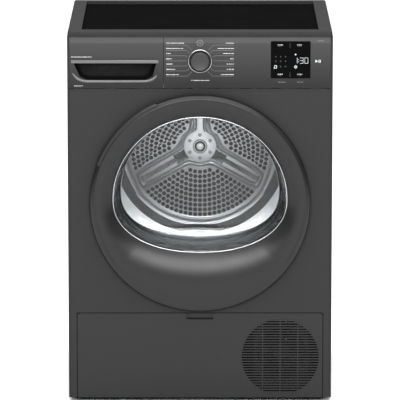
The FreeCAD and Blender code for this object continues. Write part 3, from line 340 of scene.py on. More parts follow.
def dim_ink():
    shader = Shader("dim_ink", (0.05, 0.05, 0.052), 0.4)
    shader.vary_roughness(0.002, 0.05).vary_colour(0.003, 0.06)
    return shader.material


def dial_grey():
    shader = Shader("dial_grey", (0.026, 0.0261, 0.0266), 0.42, Specular_IOR_Level=0.25)
    shader.vary_roughness(0.01, 0.04).vary_colour(0.02, 0.04).orange_peel(0.0007, 0.000005)
    return shader.material


def dial_steel():
    shader = Shader("dial_steel", (0.42, 0.42, 0.43), 0.36, 1.0)
    shader.vary_roughness(0.003, 0.05).vary_colour(0.01, 0.05).orange_peel(0.0006, 0.000003)
    return shader.material


def bar_grey():
    shader = Shader("bar_grey", (0.085, 0.0852, 0.086), 0.34)
    shader.vary_roughness(0.01, 0.04).vary_colour(0.03, 0.04).orange_peel(0.0008, 0.000005)
    return shader.material


def painted_shade_black():
    # Near-black: painted shade in the handle pocket, the hub recess and the base cover's gap.
    shader = Shader("painted_shade_black", (0.003, 0.003, 0.0031), 0.5, Specular_IOR_Level=0.06)
    shader.vary_roughness(0.01, 0.06).vary_colour(0.03, 0.08).orange_peel(0.001, 0.00001)
    return shader.material


def painted_shade_chamber():
    # Near-black: painted shade behind the drum's holes.
    shader = Shader("painted_shade_chamber", (0.002, 0.002, 0.002), 0.8, Specular_IOR_Level=0.05)
    shader.vary_roughness(0.01, 0.06).vary_colour(0.03, 0.08)
    return shader.material


def felt():
    shader = Shader("felt", (0.3, 0.29, 0.27), 0.95, Sheen_Weight=0.3)
    shader.vary_colour(0.002, 0.25).bump(shader.noise(0.0006, 4.0), 0.0002)
    return shader.material


MATERIALS = {
    "body_grey": painted_metal(), "moulded_grey": moulded_grey(), "gloss_dark": gloss_black(),
    "inner_dark": inner_dark(), "stainless": stainless(), "bright_trim": bright_trim(),
    "glass": clear_glass(),
    "galvanised": galvanised(), "light_plastic": light_plastic(), "clear_tank": milky_tank(),
    "rubber": rubber(),
    "copper": copper(), "aluminium": fin_stock(), "cast": cast_black(), "board_green": circuit_board(),
    "steel_painted_shade": steel_painted_shade(), "fascia": fascia_grey_painted_top_light(), "drum_steel": drum_steel(),
    "satin_steel_and_painted_sheen": satin_steel_and_painted_sheen(), "polished": polished_steel(),
    "faint_ink": faint_ink(), "dim_ink": dim_ink(), "dial_grey": dial_grey(), "dial_steel": dial_steel(),
    "bar_grey": bar_grey(), "painted_shade_black": painted_shade_black(), "chamber": painted_shade_chamber(),
    "top": moulded_top(), "board": board_laminate(), "ink": print_ink(), "felt": felt(),
    "lit": glow("lit", (0.42, 0.43, 0.44), 0.35),
}
# The fascia and the drawer front both take the fascia material, whose top-light gradient is painted light.
SPECIAL = {"worktop_frame": "top", "worktop_board": "board", "control_fascia": "fascia",
           "tank_drawer_front": "fascia"}


def dress_cad_nodes():
    """Gives each carried-over CAD node its material."""
    for part in frame["record"]["subparts"]:
        thing = NODES[part["node"]]
        material = MATERIALS[SPECIAL.get(part["node"], part["material_slot"])]
        thing.data.materials.clear()
        thing.data.materials.append(material)
        for polygon in thing.data.polygons:
            polygon.material_index = 0


# --- mesh helpers ---------------------------------------------------------------------------

def add_piece(name, vertices, faces, material, body, crease=38):
    """A mesh object from vertices in millimetres, smooth apart from its creases."""
    mesh = bpy.data.meshes.new(name)
    mesh.from_pydata([(x * MM, y * MM, z * MM) for x, y, z in vertices], [], faces)
    builder = bmesh.new()
    builder.from_mesh(mesh)
    bmesh.ops.remove_doubles(builder, verts=builder.verts, dist=1e-6)
    bmesh.ops.recalc_face_normals(builder, faces=builder.faces)
    builder.to_mesh(mesh)
    builder.free()
    mesh.shade_smooth()
    mesh.set_sharp_from_angle(angle=math.radians(crease))
    mesh.materials.append(MATERIALS[material])
    thing = bpy.data.objects.new(name, mesh)
    bpy.context.scene.collection.objects.link(thing)
    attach(thing, body)
    return thing


class Mesh:
    """Gathers vertices and faces, in millimetres, for one piece."""

    def __init__(self):
        self.vertices = []
        self.faces = []

    def loft(self, rings, around=True, across=False, start_cap=False, end_cap=False):
        """Joins rows with quads. around closes each row, across joins the last row to the first."""
        base = len(self.vertices)
        count = len(rings[0])
        for row in rings:
            self.vertices.extend(row)
        rows = len(rings) if across else len(rings) - 1
        columns = count if around else count - 1
        for i in range(rows):
            low, high = base + i * count, base + (i + 1) % len(rings) * count
            for j in range(columns):
                k = (j + 1) % count
                self.faces.append((low + j, low + k, high + k, high + j))
        if start_cap:
            self.faces.append(tuple(range(base, base + count)))
        if end_cap:
            last = base + (len(rings) - 1) * count
            self.faces.append(tuple(range(last, last + count)))
        return self

    def turned(self, profile, x, z, count=96, start_cap=False, end_cap=False):
        """Turns (radius, y) points about an axis along Y through (x, z)."""
        rings = []
        for radius, y in profile:
            rings.append([(x + radius * math.cos(turn(j, count)), y, z + radius * math.sin(turn(j, count)))
                          for j in range(count)])
        return self.loft(rings, start_cap=start_cap, end_cap=end_cap)

    def slab(self, outline, y0, y1, soften=0.0):
        """A plate with an (x, z) outline, its front edge softened all round."""
        middle_x = sum(p[0] for p in outline) / len(outline)
        middle_z = sum(p[1] for p in outline) / len(outline)

        def shrunk(by, y):
            row = []
            for x, z in outline:
                away = Vector((x - middle_x, z - middle_z))
                scale = max(0.0, 1 - by / max(away.length, 1e-6))
                row.append((middle_x + away.x * scale, y, middle_z + away.y * scale))
            return row
        rings = [shrunk(0, y1), shrunk(0, y0 + soften), shrunk(soften * 0.3, y0 + soften * 0.3),
                 shrunk(soften, y0)]
        return self.loft(rings, start_cap=True, end_cap=True)

    def add(self, name, material, body, slot, crease=38):
        return add_piece(name, self.vertices, self.faces, material, body, crease)


def turn(step, count):
    return 2 * math.pi * step / count


def rounded(x0, x1, z0, z1, radius, steps=5):
    """Outline of a rectangle with rounded corners."""
    points = []
    for cx, cz, start in ((x1 - radius, z1 - radius, 0), (x0 + radius, z1 - radius, 90),
                          (x0 + radius, z0 + radius, 180), (x1 - radius, z0 + radius, 270)):
        for step in range(steps + 1):
            angle = math.radians(start + 90 * step / steps)
            points.append((cx + radius * math.cos(angle), cz + radius * math.sin(angle)))
    return points


def smooth_step(value, low, high):
    t = min(1.0, max(0.0, (value - low) / (high - low)))
    return t * t * (3 - 2 * t)


# --- door -----------------------------------------------------------------------------------

DOOR_Z = DOOR.z / MM
RIM = DOOR_RADIUS / MM
HINGE_ROOM = 28.5                                   # half height of the recess for the hinge
HINGE_CLEAR = 233.6                                 # the shell stays this near the middle beside it
GRIP_DEPTH = 6.5                                    # finger grip cut into the rim
RING_FRONT = RING_LOW.y / MM
WINDOW_Z = DOOR_Z + 9
WINDOW_HALF, WINDOW_RISE, WINDOW_DROP = 196, 187, 121.5
LOOP = 288


def window_reach(angle, grow=0.0):
    """Distance from the window's middle to its edge; the lower half is a little squarer."""
    across, up = math.cos(angle), math.sin(angle)
    tall, power = (WINDOW_RISE, 2.0) if up >= 0 else (WINDOW_DROP, 2.2)
    total = abs(across / (WINDOW_HALF + grow)) ** power + abs(up / (tall + grow)) ** power
    return total ** (-1 / power)


def rim_reach(angle, radius):
    """Distance from the window's middle to a circle about the door's middle."""
    lift = WINDOW_Z - DOOR_Z
    across, up = math.cos(angle), math.sin(angle)
    return -lift * up + math.sqrt(radius * radius - (lift * across) ** 2)


def around_window(reach, y):
    """One closed row of points about the window's middle. reach and y may depend on the angle."""
    row = []
    for j in range(LOOP):
        angle = turn(j, LOOP)
        distance = reach(angle) if callable(reach) else reach
        depth = y(angle) if callable(y) else y
        row.append((distance * math.cos(angle), depth, WINDOW_Z + distance * math.sin(angle)))
    return row


def grip_share(angle, distance):
    """1 inside the finger grip's arc on the rim, 0 elsewhere."""
    x, z = distance * math.cos(angle), WINDOW_Z + distance * math.sin(angle) - DOOR_Z
    place = math.degrees(math.atan2(z, x)) % 360
    return smooth_step(place, 113.6, 114.4) * (1 - smooth_step(place, 157.6, 158.4))


def door_shell():
    """Moulded outer ring: turned-in window edge, deep smooth dish, rolled rim."""
    front = RING_FRONT
    rings = [around_window(lambda a: window_reach(a, 2.2), front + 22.5),
             around_window(lambda a: window_reach(a, 1.6), front + 18.6)]
    lip = 15

    def dish(share):
        def reach(angle):
            start, end = window_reach(angle, 1.8), rim_reach(angle, RIM - lip)
            return start + min(78, end - start) * share

        def depth(angle):
            return front + 1.2 + 16.6 * (1 - share) ** 2.1
        return reach, depth

    for step in range(15):
        reach, depth = dish(step / 14)
        rings.append(around_window(reach, depth))
    for inset, y in ((12.6, 0.4), (10.6, 0), (8.4, 0.4), (6.2, 1.6), (4.2, 3.3), (2.5, 5.4), (1.2, 7.8),
                     (0.3, 10.4)):
        rings.append(around_window(lambda a, inset=inset: rim_reach(a, RIM - inset), front + y))
    for inset, y, cut in ((0, 12.5, False), (0, 14.2, False), (0, 14.4, True), (0, 17, True),
                          (0.3, 22.5, True), (1.2, 25.2, True), (3.4, 25.8, True)):
        def reach(angle, inset=inset, cut=cut):
            full = rim_reach(angle, RIM - inset)
            beside_hinge = abs(full * math.sin(angle) + WINDOW_Z - DOOR_Z) < HINGE_ROOM
            if cut and beside_hinge and math.cos(angle) > 0:
                return HINGE_CLEAR / math.cos(angle)
            return full - GRIP_DEPTH * grip_share(angle, full)
        rings.append(around_window(reach, front + y))
    piece = Mesh().loft(rings).add("door_shell", "moulded_grey", "door", "moulded_grey")
    return piece


def grip_lip():
    """Finger lip that stands out from the upper left of the rim."""
    section = [(-8.5, 1.9), (-6, 1.0), (-2, 0.9), (0.8, 1.7), (2.4, 3.6), (2.9, 6.2), (2.7, 9), (1.4, 10.6),
               (-2, 10.9), (-8.5, 10.9)]
    rows = []
    count = 60
    for j in range(count + 1):
        angle = math.radians(113.2 + 45.6 * j / count)
        tuck = 1 - 0.35 * (1 - min(1.0, min(j, count - j) / 2.0))
        row = []
        for out, y in section:
            radius = RIM + (out if out < 0 else out * tuck)
            row.append((radius * math.cos(angle), RING_FRONT + y, DOOR_Z + radius * math.sin(angle)))
        rows.append(row)
    return Mesh().loft(rows, start_cap=True, end_cap=True).add("door_grip_lip", "moulded_grey", "door",
                                                              "moulded_grey")


def window_bead():
    """Thin satin bead round the window."""
    rings = []
    for step in range(10):
        angle = turn(step, 10)
        grow, y = 0.3 + 1.2 * math.cos(angle), RING_FRONT + 17.8 + 1.1 * math.sin(angle)
        rings.append(around_window(lambda a, grow=grow: window_reach(a, grow), y))
    return Mesh().loft(rings, across=True).add("door_window_bead", "bright_trim", "door", "bright_trim")


def bowl_width(angle):
    """How far the bowl's wall leans in, from narrow at the top to wide at the bottom."""
    up = math.sin(angle)
    if up >= 0:
        return 15 - 9 * up
    return 15 + 22 * (-up) ** 1.4


BOWL_CURVE = ((0, 0), (0.1, 0.16), (0.22, 0.38), (0.36, 0.6), (0.5, 0.74), (0.62, 0.83), (0.74, 0.9),
              (0.86, 0.955), (0.95, 0.985), (1.0, 1.0))


def bowl_rows(start, grow, depth, curve):
    rows = []
    for lean, deep in curve:
        rows.append(around_window(lambda a, lean=lean: window_reach(a, grow) - bowl_width(a) * lean,
                                  start + depth * deep))
    return rows


def glass_bowl():
    """Clear pressed bowl: flange, leaning wall and a gently domed face, 3 mm thick."""
    start = RING_FRONT + 20
    near = bowl_rows(start, -2.5, 60, BOWL_CURVE)
    far = bowl_rows(start + 3, 0.5, 60, BOWL_CURVE)
    face, rear_face = [], []
    for share in (0.8, 0.55, 0.3, 0.08):
        dome = 60 + 2.5 * (1 - share * share)
        for rows, grow, y in ((face, -2.5, start + dome), (rear_face, 0.5, start + 3 + dome)):
            rows.append(around_window(
                lambda a, share=share, grow=grow: (window_reach(a, grow) - bowl_width(a)) * share, y))
    flange = [around_window(lambda a: window_reach(a, 7), y) for y in (start + 3, start)]
    rings = rear_face[::-1] + far[::-1] + flange + near + face
    mesh = Mesh().loft(rings, start_cap=True, end_cap=True)
    return mesh.add("door_glass_bowl", "glass", "door", "glass", 70)


def bowl_collar():
    """Polished steel collar behind the bowl's wall, which hides the door's hollow."""
    start = RING_FRONT + 22
    near = bowl_rows(start, 1.0, 61.5, BOWL_CURVE)
    back = [around_window(lambda a: window_reach(a, 2.2) - bowl_width(a) * 0.97, start + 62.6),
            around_window(lambda a: window_reach(a, 3.4) - bowl_width(a) * 0.6, start + 55)]
    return Mesh().loft(near + back).add("door_bowl_collar", "polished", "door", "stainless", 60)


def door_pieces():
    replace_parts(door_shell(), "door_outer_ring")
    grip_lip()
    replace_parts(window_bead(), "door_window_trim")
    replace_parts(glass_bowl(), "door_glass")
    bowl_collar()


# --- drum interior --------------------------------------------------------------------------

DRUM_Z = DRUM.z / MM
PLATE_BACK = corners("drum_back_plate")[1].y / MM + 2.8      # the drum's rear edge
HOLE_PITCH = 11.4
HOLE_RADIUS = 5.0
DISC_RADIUS = 172.0
ARMS = ((90, 15.0, 178.0), (210, 15.0, 160.0), (330, 15.0, 160.0))


def arm_reach(angle, arms, grow, hub):
    """Outline of a hub with arms: distance from the middle, with soft inner corners."""
    best = hub
    for direction, half_width, length in arms:
        off = (angle - math.radians(direction) + math.pi) % (2 * math.pi) - math.pi
        if abs(off) >= math.pi / 2:
            continue
        side = (half_width + grow) / max(abs(math.sin(off)), 1e-4)
        end = (length + grow) / math.cos(off)
        blunt = 8
        reach = (side ** -blunt + end ** -blunt) ** (-1 / blunt)
        best = (best ** 7 + reach ** 7) ** (1 / 7)
    return best


def arm_rows(arms, levels, count=1080):
    rows = []
    for grow, hub, y in levels:
        row = []
        for j in range(count):
            angle = turn(j, count)
            reach = min(arm_reach(angle, arms, grow, hub), DISC_RADIUS + 4)
            row.append((reach * math.cos(angle), PLATE_BACK + y, DRUM_Z + reach * math.sin(angle)))
        rows.append(row)
    return rows


def perforated_cells(mesh):
    """Rings of square cells, each with a punched hole, apart from those under the stamped arms."""
    y = PLATE_BACK - 4
    rings = 12
    for index in range(rings):
        radius = DISC_RADIUS - HOLE_PITCH * (index + 0.5) - 1.5
        number = 3 * round(2 * math.pi * radius / HOLE_PITCH / 3)
        half_angle = math.pi / number
        for step in range(number):
            middle_angle = math.radians(-90) + 2 * half_angle * step
            clear = radius > arm_reach(middle_angle, ARMS, 12.5, 52)
            shown = radius > arm_reach(middle_angle, ARMS, -6, 34)
            if not shown:
                continue
            outer, inner, deep = [], [], []
            for j in range(16):
                way = turn(j, 16)
                reach = 1 / max(abs(math.cos(way)), abs(math.sin(way)))
                a = middle_angle + half_angle * reach * math.cos(way)
                r = radius + HOLE_PITCH / 2 * reach * math.sin(way)
                outer.append((r * math.cos(a), y, DRUM_Z + r * math.sin(a)))
                a = middle_angle + HOLE_RADIUS * math.cos(way) / radius
                r = radius + HOLE_RADIUS * math.sin(way)
                inner.append((r * math.cos(a), y + 0.15, DRUM_Z + r * math.sin(a)))
                deep.append((r * math.cos(a), y + 1.1, DRUM_Z + r * math.sin(a)))
            if clear:
                mesh.loft([outer, inner, deep])
            else:
                mesh.loft([outer], end_cap=True)


def drum_wall_and_plate():
    """Rear wall of the drum: perforated disc, rolled edge and a cone up to the drum's shell; the cone's
    inner rows are painted shade and its outer rows a painted highlight.
    """
    mesh = Mesh()
    perforated_cells(mesh)
    beads = [(-1.6, -4), (1, -4.6), (2.6, -6.4), (4.4, -6.9), (6.2, -6.2), (7.4, -5.2), (9.5, -6.4),
             (11.8, -8.4), (14, -8.9), (16.4, -8.6), (18, -9.4)]
    mesh.turned([(DISC_RADIUS + r, PLATE_BACK + y) for r, y in beads], 0, DRUM_Z, 144)
    cone = [(18, -9.4), (26, -13.5), (40, -20), (62, -29), (84, -35), (106, -38.5)]
    # Painted light: inner rows in a dark copy of the steel for shade, outer rows in a bright satin copy for
    # a highlight.
    for name, material, part in (("drum_rear_cone", "steel_painted_shade", cone[:3]),
                                 ("drum_rear_flare", "satin_steel_and_painted_sheen", cone[2:])):
        wall = Mesh().turned([(DISC_RADIUS + r, PLATE_BACK + y) for r, y in part], 0, DRUM_Z, 144)
        wall.add(name, material, "drum", "stainless", 50)
    return mesh.add("drum_perforated_wall", "drum_steel", "drum", "stainless", 50)


def stamped_arms():
    """Pressed star: raised outline round recessed channels, flush with the disc at its edge; the channel
    floors are in dark steel, painted shade.
    """
    levels = ((10.5, 50, -4.05), (8.5, 48, -4.6), (6.5, 46, -6.6), (4.6, 44.5, -7.4), (2.6, 43, -7.2),
              (0.6, 41, -5.6), (-1.6, 39.5, -3.6))
    mesh = Mesh().loft(arm_rows(ARMS, levels))
    mesh.add("drum_stamped_arms", "drum_steel", "drum", "stainless", 60)
    # Channel floors in the dark copy of the steel: painted shade in the recess.
    floor = Mesh().loft(arm_rows(ARMS, (levels[-1], (-3.2, 38, -3.1))), end_cap=True)
    return floor.add("drum_arm_channels", "steel_painted_shade", "drum", "stainless", 60)


def hub_plate():
    """Light riveted plate over the hub, with one arm that runs up to the disc's edge."""
    spade = ((90, 7.5, 170.0),)
    levels = ((0, 38, -7.2), (0, 38, -8.4), (-0.5, 37.4, -9.1), (-1.4, 36.4, -9.4))
    mesh = Mesh().loft(arm_rows(spade, levels, 720), start_cap=True, end_cap=True)
    return mesh.add("drum_hub_plate", "satin_steel_and_painted_sheen", "drum", "galvanised", 50)


def rear_shroud():
    """Near-black sheet just behind the holes: painted shade for the air chamber seen through them."""
    mesh = Mesh().turned([(0.5, -2.72), (60, -2.72), (DISC_RADIUS + 1, -2.72)], 0, DRUM_Z, 96)
    mesh.vertices = [(x, PLATE_BACK + y, z) for x, y, z in mesh.vertices]
    return mesh.add("drum_air_chamber", "chamber", "drum", "inner_dark")


def drum_pieces():
    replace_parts(drum_wall_and_plate(), "drum_back_plate")
    stamped_arms()
    hub_plate()
    rear_shroud()

# --- control strip --------------------------------------------------------------------------

KNOB_X, KNOB_Z = KNOB.x / MM, KNOB.z / MM
FACE_Y = FRONT / MM
PRINT_PROUD = 0.12                                  # height of print over its surface


def face_depth(node, x, z):
    """Front surface of a CAD node straight behind (x, z), in millimetres."""
    hit, place, _, _ = NODES[node].ray_cast(Vector((x * MM, -1.0, z * MM)), Vector((0, 1, 0)))
    return place.y / MM if hit else FACE_Y


def stroke(mesh, x0, z0, x1, z1, width, node, y=None):
    """A printed line from one place to another, laid just proud of a CAD surface."""
    way = Vector((x1 - x0, z1 - z0))
    side = Vector((-way.y, way.x)).normalized() * width / 2
    base = len(mesh.vertices)
    for x, z, sign in ((x0, z0, 1), (x1, z1, 1), (x1, z1, -1), (x0, z0, -1)):
        depth = (face_depth(node, x, z) if y is None else y) - PRINT_PROUD
        mesh.vertices.append((x + sign * side.x, depth, z + sign * side.y))
    mesh.faces.append((base, base + 1, base + 2, base + 3))


def dashes(mesh, x0, length, z, node, height=1.5, y=None):
    """A row of short blocks that stands for a printed word; no letters."""
    x = x0
    while x < x0 + length - 0.6:
        block = min(random.uniform(1.2, 3.4), x0 + length - x)
        stroke(mesh, x, z, x + block, z, height * random.uniform(0.75, 1.0), node, y)
        x += block + random.choice((0.45, 0.45, 1.3))


def dot(mesh, x, z, radius, node, y=None, hollow=0.0, count=20):
    depth = (face_depth(node, x, z) if y is None else y) - PRINT_PROUD
    outer = [(x + radius * math.cos(turn(j, count)), depth, z + radius * math.sin(turn(j, count)))
             for j in range(count)]
    if hollow:
        inner = [(x + hollow * math.cos(turn(j, count)), depth, z + hollow * math.sin(turn(j, count)))
                 for j in range(count)]
        mesh.loft([outer, inner])
    else:
        base = len(mesh.vertices)
        mesh.vertices.extend(outer)
        mesh.faces.append(tuple(range(base, base + count)))


ROWS = ((40.8, 36.3), (28.7, 24.2), (17.3, 12.1), (5.2, 0.5), (-6.6, -11.2), (-18.5, -22.3),
        (-30.6, -34.0))
LEFT_WIDTHS = (41, 38, 12, 13, 14, 20, 28)
RIGHT_WIDTHS = (18, 36, 24, 8, 16, 16, 29)


def fascia_print():
    """Generic blocks in place of words, with leader lines to the dial."""
    words, faint = Mesh(), Mesh()
    node = "control_fascia"
    for (z_word, z_line), left, right in zip(ROWS, LEFT_WIDTHS, RIGHT_WIDTHS):
        dashes(words, KNOB_X - 76, left, KNOB_Z + z_word, node)
        dashes(words, KNOB_X + 76 - right, right, KNOB_Z + z_word, node)
        for side in (-1, 1):
            reach = 28.5
            aim_z = max(-0.9, min(0.9, z_line / 34.0)) * reach * 0.92
            aim_x = math.sqrt(reach * reach - aim_z * aim_z) + 1.5
            bend = aim_x + abs(z_line - aim_z) * 0.9 + 1.5
            stroke(faint, side * 76, KNOB_Z + z_line, side * bend, KNOB_Z + z_line, 0.5, node)
            stroke(faint, side * bend, KNOB_Z + z_line, side * aim_x, KNOB_Z + aim_z, 0.5, node)
    dashes(words, KNOB_X - 20, 41, KNOB_Z - 43.8, node)
    dashes(faint, KNOB_X + 264, 14, KNOB_Z + 45.8, node, 1.2)
    dashes(faint, KNOB_X + 176, 16, KNOB_Z - 47.7, node, 1.3)
    dashes(faint, KNOB_X + 218, 14, KNOB_Z - 47.7, node, 1.3)
    dot(faint, KNOB_X, KNOB_Z + 41, 7.2, node, hollow=6.2)
    dot(faint, KNOB_X, KNOB_Z + 41, 2.6, node, hollow=1.9)
    words.add("fascia_words", "ink", "root", "light_plastic")
    faint.add("fascia_lines", "faint_ink", "root", "light_plastic")
    start = Mesh()
    x, z = KNOB_X + 259, KNOB_Z - 0.3
    depth = face_depth(node, x, z) - PRINT_PROUD
    start.vertices += [(x, depth, z + 3.4), (x, depth, z - 3.4), (x + 6, depth, z)]
    start.faces.append((0, 1, 2))
    for off in (8, 11):
        stroke(start, x + off, z - 3.3, x + off, z + 3.3, 1.6, node)
    start.add("start_pause_marks", "lit", "root", "light_plastic")
    drawer = Mesh()
    dashes(drawer, KNOB_X - 289, 47, KNOB_Z + 9.3, "tank_drawer_front")
    dashes(drawer, KNOB_X - 283, 20, KNOB_Z - 56.3, "tank_drawer_front", 1.2)
    drawer.add("drawer_words", "ink", "tank_drawer", "light_plastic")


SEGMENTS = {"a": (0, 1, 1, 1), "b": (1, 1, 1, 0.5), "c": (1, 0.5, 1, 0), "d": (0, 0, 1, 0),
            "e": (0, 0, 0, 0.5), "f": (0, 0.5, 0, 1), "g": (0, 0.5, 1, 0.5)}
DIGITS = {"0": "abcdef", "1": "bc", "3": "abcdg"}


def display_marks():
    """Seven-segment time, dividers, symbols and word blocks on the dark window."""
    y = corners("display_window")[0].y / MM
    node = "display_window"
    lit, dim = Mesh(), Mesh()
    x, width, tall = KNOB_X + 211, 7.2, 12.5
    for index, digit in enumerate("130"):
        left = x + index * 10.8 + (2.5 if index else 0)
        for name in DIGITS[digit]:
            u0, v0, u1, v1 = SEGMENTS[name]
            stroke(lit, left + u0 * width, KNOB_Z - 5 + v0 * tall,
                   left + u1 * width, KNOB_Z - 5 + v1 * tall, 0.75, node, y)
    for lift in (-1.5, 3.5):
        dot(lit, x + 9.9, KNOB_Z + lift, 0.8, node, y)
    dot(lit, KNOB_X + 214.5, KNOB_Z + 15, 1.7, node, y)
    dot(lit, KNOB_X + 214.8, KNOB_Z - 13, 3.2, node, y, hollow=2.1)
    dot(lit, KNOB_X + 214.8, KNOB_Z - 13, 1.0, node, y)
    for dx, dz, ex, ez in ((166, -16, 172, -16), (172, -16, 172, -10), (172, -10, 168, -10),
                           (168, -10, 166, -16)):
        stroke(lit, KNOB_X + dx, KNOB_Z + dz, KNOB_X + ex, KNOB_Z + ez, 1.2, node, y)
    for place, z in ((174, 36.8), (218, 36.8), (174, -29.6), (218, -29.6)):
        dashes(lit, KNOB_X + place, 12, KNOB_Z + z, node, 1.4, y)
        dashes(dim, KNOB_X + place + 1, 9, KNOB_Z + z - 3, node, 1.2, y)
    for z in (35.6, -30.6):
        stroke(dim, KNOB_X + 202, KNOB_Z + z - 5, KNOB_X + 202, KNOB_Z + z + 5, 0.6, node, y)
    for row in (10, 0, -12):
        for column in (170, 181, 192):
            dot(dim, KNOB_X + column, KNOB_Z + row, 1.5, node, y, hollow=0.9)
    lit.add("display_lit_marks", "lit", "root", "gloss_dark")
    dim.add("display_dim_marks", "dim_ink", "root", "gloss_dark")


def dial():
    """Turned dial with a shallow dished face and a pointer notch, inside its sloped ring."""
    front = corners("program_knob")[0].y / MM
    back = corners("program_knob")[1].y / MM
    knob = Mesh().turned([(6, back), (6, FACE_Y - 0.4), (20.6, FACE_Y - 0.4), (20.9, front + 4),
                          (20.6, front + 1.6), (19.9, front + 0.5), (18.8, front), (17.2, front + 0.3),
                          (15.5, front + 0.9),
                          (0.4, front + 1.1)], KNOB_X, KNOB_Z, 128, start_cap=True, end_cap=True)
    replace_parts(knob.add("dial_face", "dial_grey", "dial", "moulded_grey"), "program_knob")
    pointer = Mesh().slab(rounded(KNOB_X - 0.9, KNOB_X + 0.9, KNOB_Z + 13.2, KNOB_Z + 20.2, 0.7),
                          front - 0.1, front + 1.6, 0.3)
    pointer.add("dial_pointer", "inner_dark", "dial", "gloss_dark")
    low = corners("knob_ring")[0].y / MM
    ring = Mesh().turned([(26.5, FACE_Y - 0.1), (26.5, low + 0.8), (26.0, low + 0.2), (25.2, low),
                          (24.4, low + 0.5), (21.7, FACE_Y - 0.2)], KNOB_X, KNOB_Z, 128)
    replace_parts(ring.add("dial_ring", "dial_steel", "root", "bright_trim"), "knob_ring")


def tube(mesh, path, radius, y):
    """A round bar along (x, z) points at depth y."""
    rows = []
    for j, (x, z) in enumerate(path):
        before, after = path[max(j - 1, 0)], path[min(j + 1, len(path) - 1)]
        way = Vector((after[0] - before[0], after[1] - before[1])).normalized()
        end = min(j, len(path) - 1 - j)
        size = radius * (0.45, 0.8, 1.0)[min(end, 2)]
        row = []
        for k in range(12):
            angle = turn(k, 12)
            row.append((x - way.y * size * math.cos(angle), y + size * 0.8 * math.sin(angle),
                        z + way.x * size * math.cos(angle)))
        rows.append(row)
    return mesh.loft(rows, start_cap=True, end_cap=True)


def tank_grip():
    """Handle of the tank drawer: bar, deep scooped pocket in near-black painted shade, and rolled lower
    lip.
    """
    low, high = corners("tank_handle")
    x0, x1, top, front = low.x / MM, high.x / MM, high.z / MM, low.y / MM
    bar = Mesh().slab(rounded(x0, x1, top - 7, top, 1.6), front, FACE_Y + 3, 1.3)
    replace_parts(bar.add("tank_handle_bar", "bar_grey", "tank_drawer", "moulded_grey"), "tank_handle")
    left, right = x0 + 6, x1 - 5
    floor = low.z / MM + 2
    mouth = [(left, top - 7.4), (left + 3, top - 14), (left + 10, floor + 12), (left + 17, floor + 5),
             (left + 28, floor + 0.6), (left + 40, floor), (right - 36, floor), (right - 24, floor + 0.6),
             (right - 14, floor + 5), (right - 8, floor + 12), (right - 2.5, top - 14), (right, top - 7.4)]
    rows = []
    mid_x, mid_z = (left + right) / 2, top - 8
    for across, down, depth in ((1.012, 1.03, 0.4), (1.0, 1.0, 0.6), (0.985, 0.97, 4), (0.965, 0.93, 9),
                                (0.94, 0.86, 14), (0.9, 0.76, 17)):
        rows.append([(mid_x + (x - mid_x) * across, FACE_Y + depth, mid_z + (z - mid_z) * down)
                     for x, z in mouth])
    # The pocket is near-black, painted shade in the scoop.
    pocket = Mesh().loft(rows, end_cap=True)
    pocket.add("tank_handle_pocket", "painted_shade_black", "tank_drawer", "inner_dark", 55)
    lip = [(left - 2.2, floor + 14.5), (left + 2.5, floor + 9), (left + 7, floor + 4.6),
           (left + 13, floor + 0.6), (left + 20, floor - 1.8), (left + 30, floor - 3),
           ((left + right) / 2, floor - 3.2), (right - 26, floor - 3), (right - 16, floor - 1.6),
           (right - 9, floor + 1.2), (right - 3.5, floor + 5.2), (right + 0.8, floor + 10)]
    bar = tube(Mesh(), lip, 3.1, FACE_Y + 0.6)
    bar.add("tank_handle_lip", "bar_grey", "tank_drawer", "moulded_grey", 60)


def hub_fasteners():
    """Centre bolt in a recess darkened by a near-black ring of painted shade, and six domed rivets."""
    y = PLATE_BACK - 9.4
    dark = Mesh().turned([(17.4, y + 0.4), (17.2, y - 0.9), (16.2, y - 1.4), (15, y - 0.9), (13.6, y + 0.6),
                          (10, y + 0.9)], 0, DRUM_Z, 48)
    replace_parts(dark.add("hub_recess", "drum_steel", "drum", "bright_trim"), "drum_hub_fasteners")
    # Painted shade: a near-black ring in the recess round the bolt.
    shade_ring = Mesh().turned([(13.2, y + 0.9), (13.0, y - 0.2), (12, y - 0.7), (8.6, y - 0.7)], 0, DRUM_Z, 48)
    shade_ring.add("hub_ring_painted_shade", "painted_shade_black", "drum", "inner_dark")
    bolt = Mesh().turned([(8.6, y), (8.5, y - 3.6), (7.6, y - 4.6), (4, y - 5.4), (0.3, y - 5.6)],
                         0, DRUM_Z, 6, end_cap=True)
    bolt.add("hub_bolt", "satin_steel_and_painted_sheen", "drum", "bright_trim", 20)
    rivets = Mesh()
    for index in range(6):
        angle = math.radians(90 + 60 * index)
        rivets.turned([(4.4, y + 0.3), (4.2, y - 0.5), (3.2, y - 1.2), (1.6, y - 1.5), (0.2, y - 1.6)],
                      27.5 * math.cos(angle), DRUM_Z + 27.5 * math.sin(angle), 16, end_cap=True)
    rivets.add("hub_rivets", "drum_steel", "drum", "bright_trim", 50)


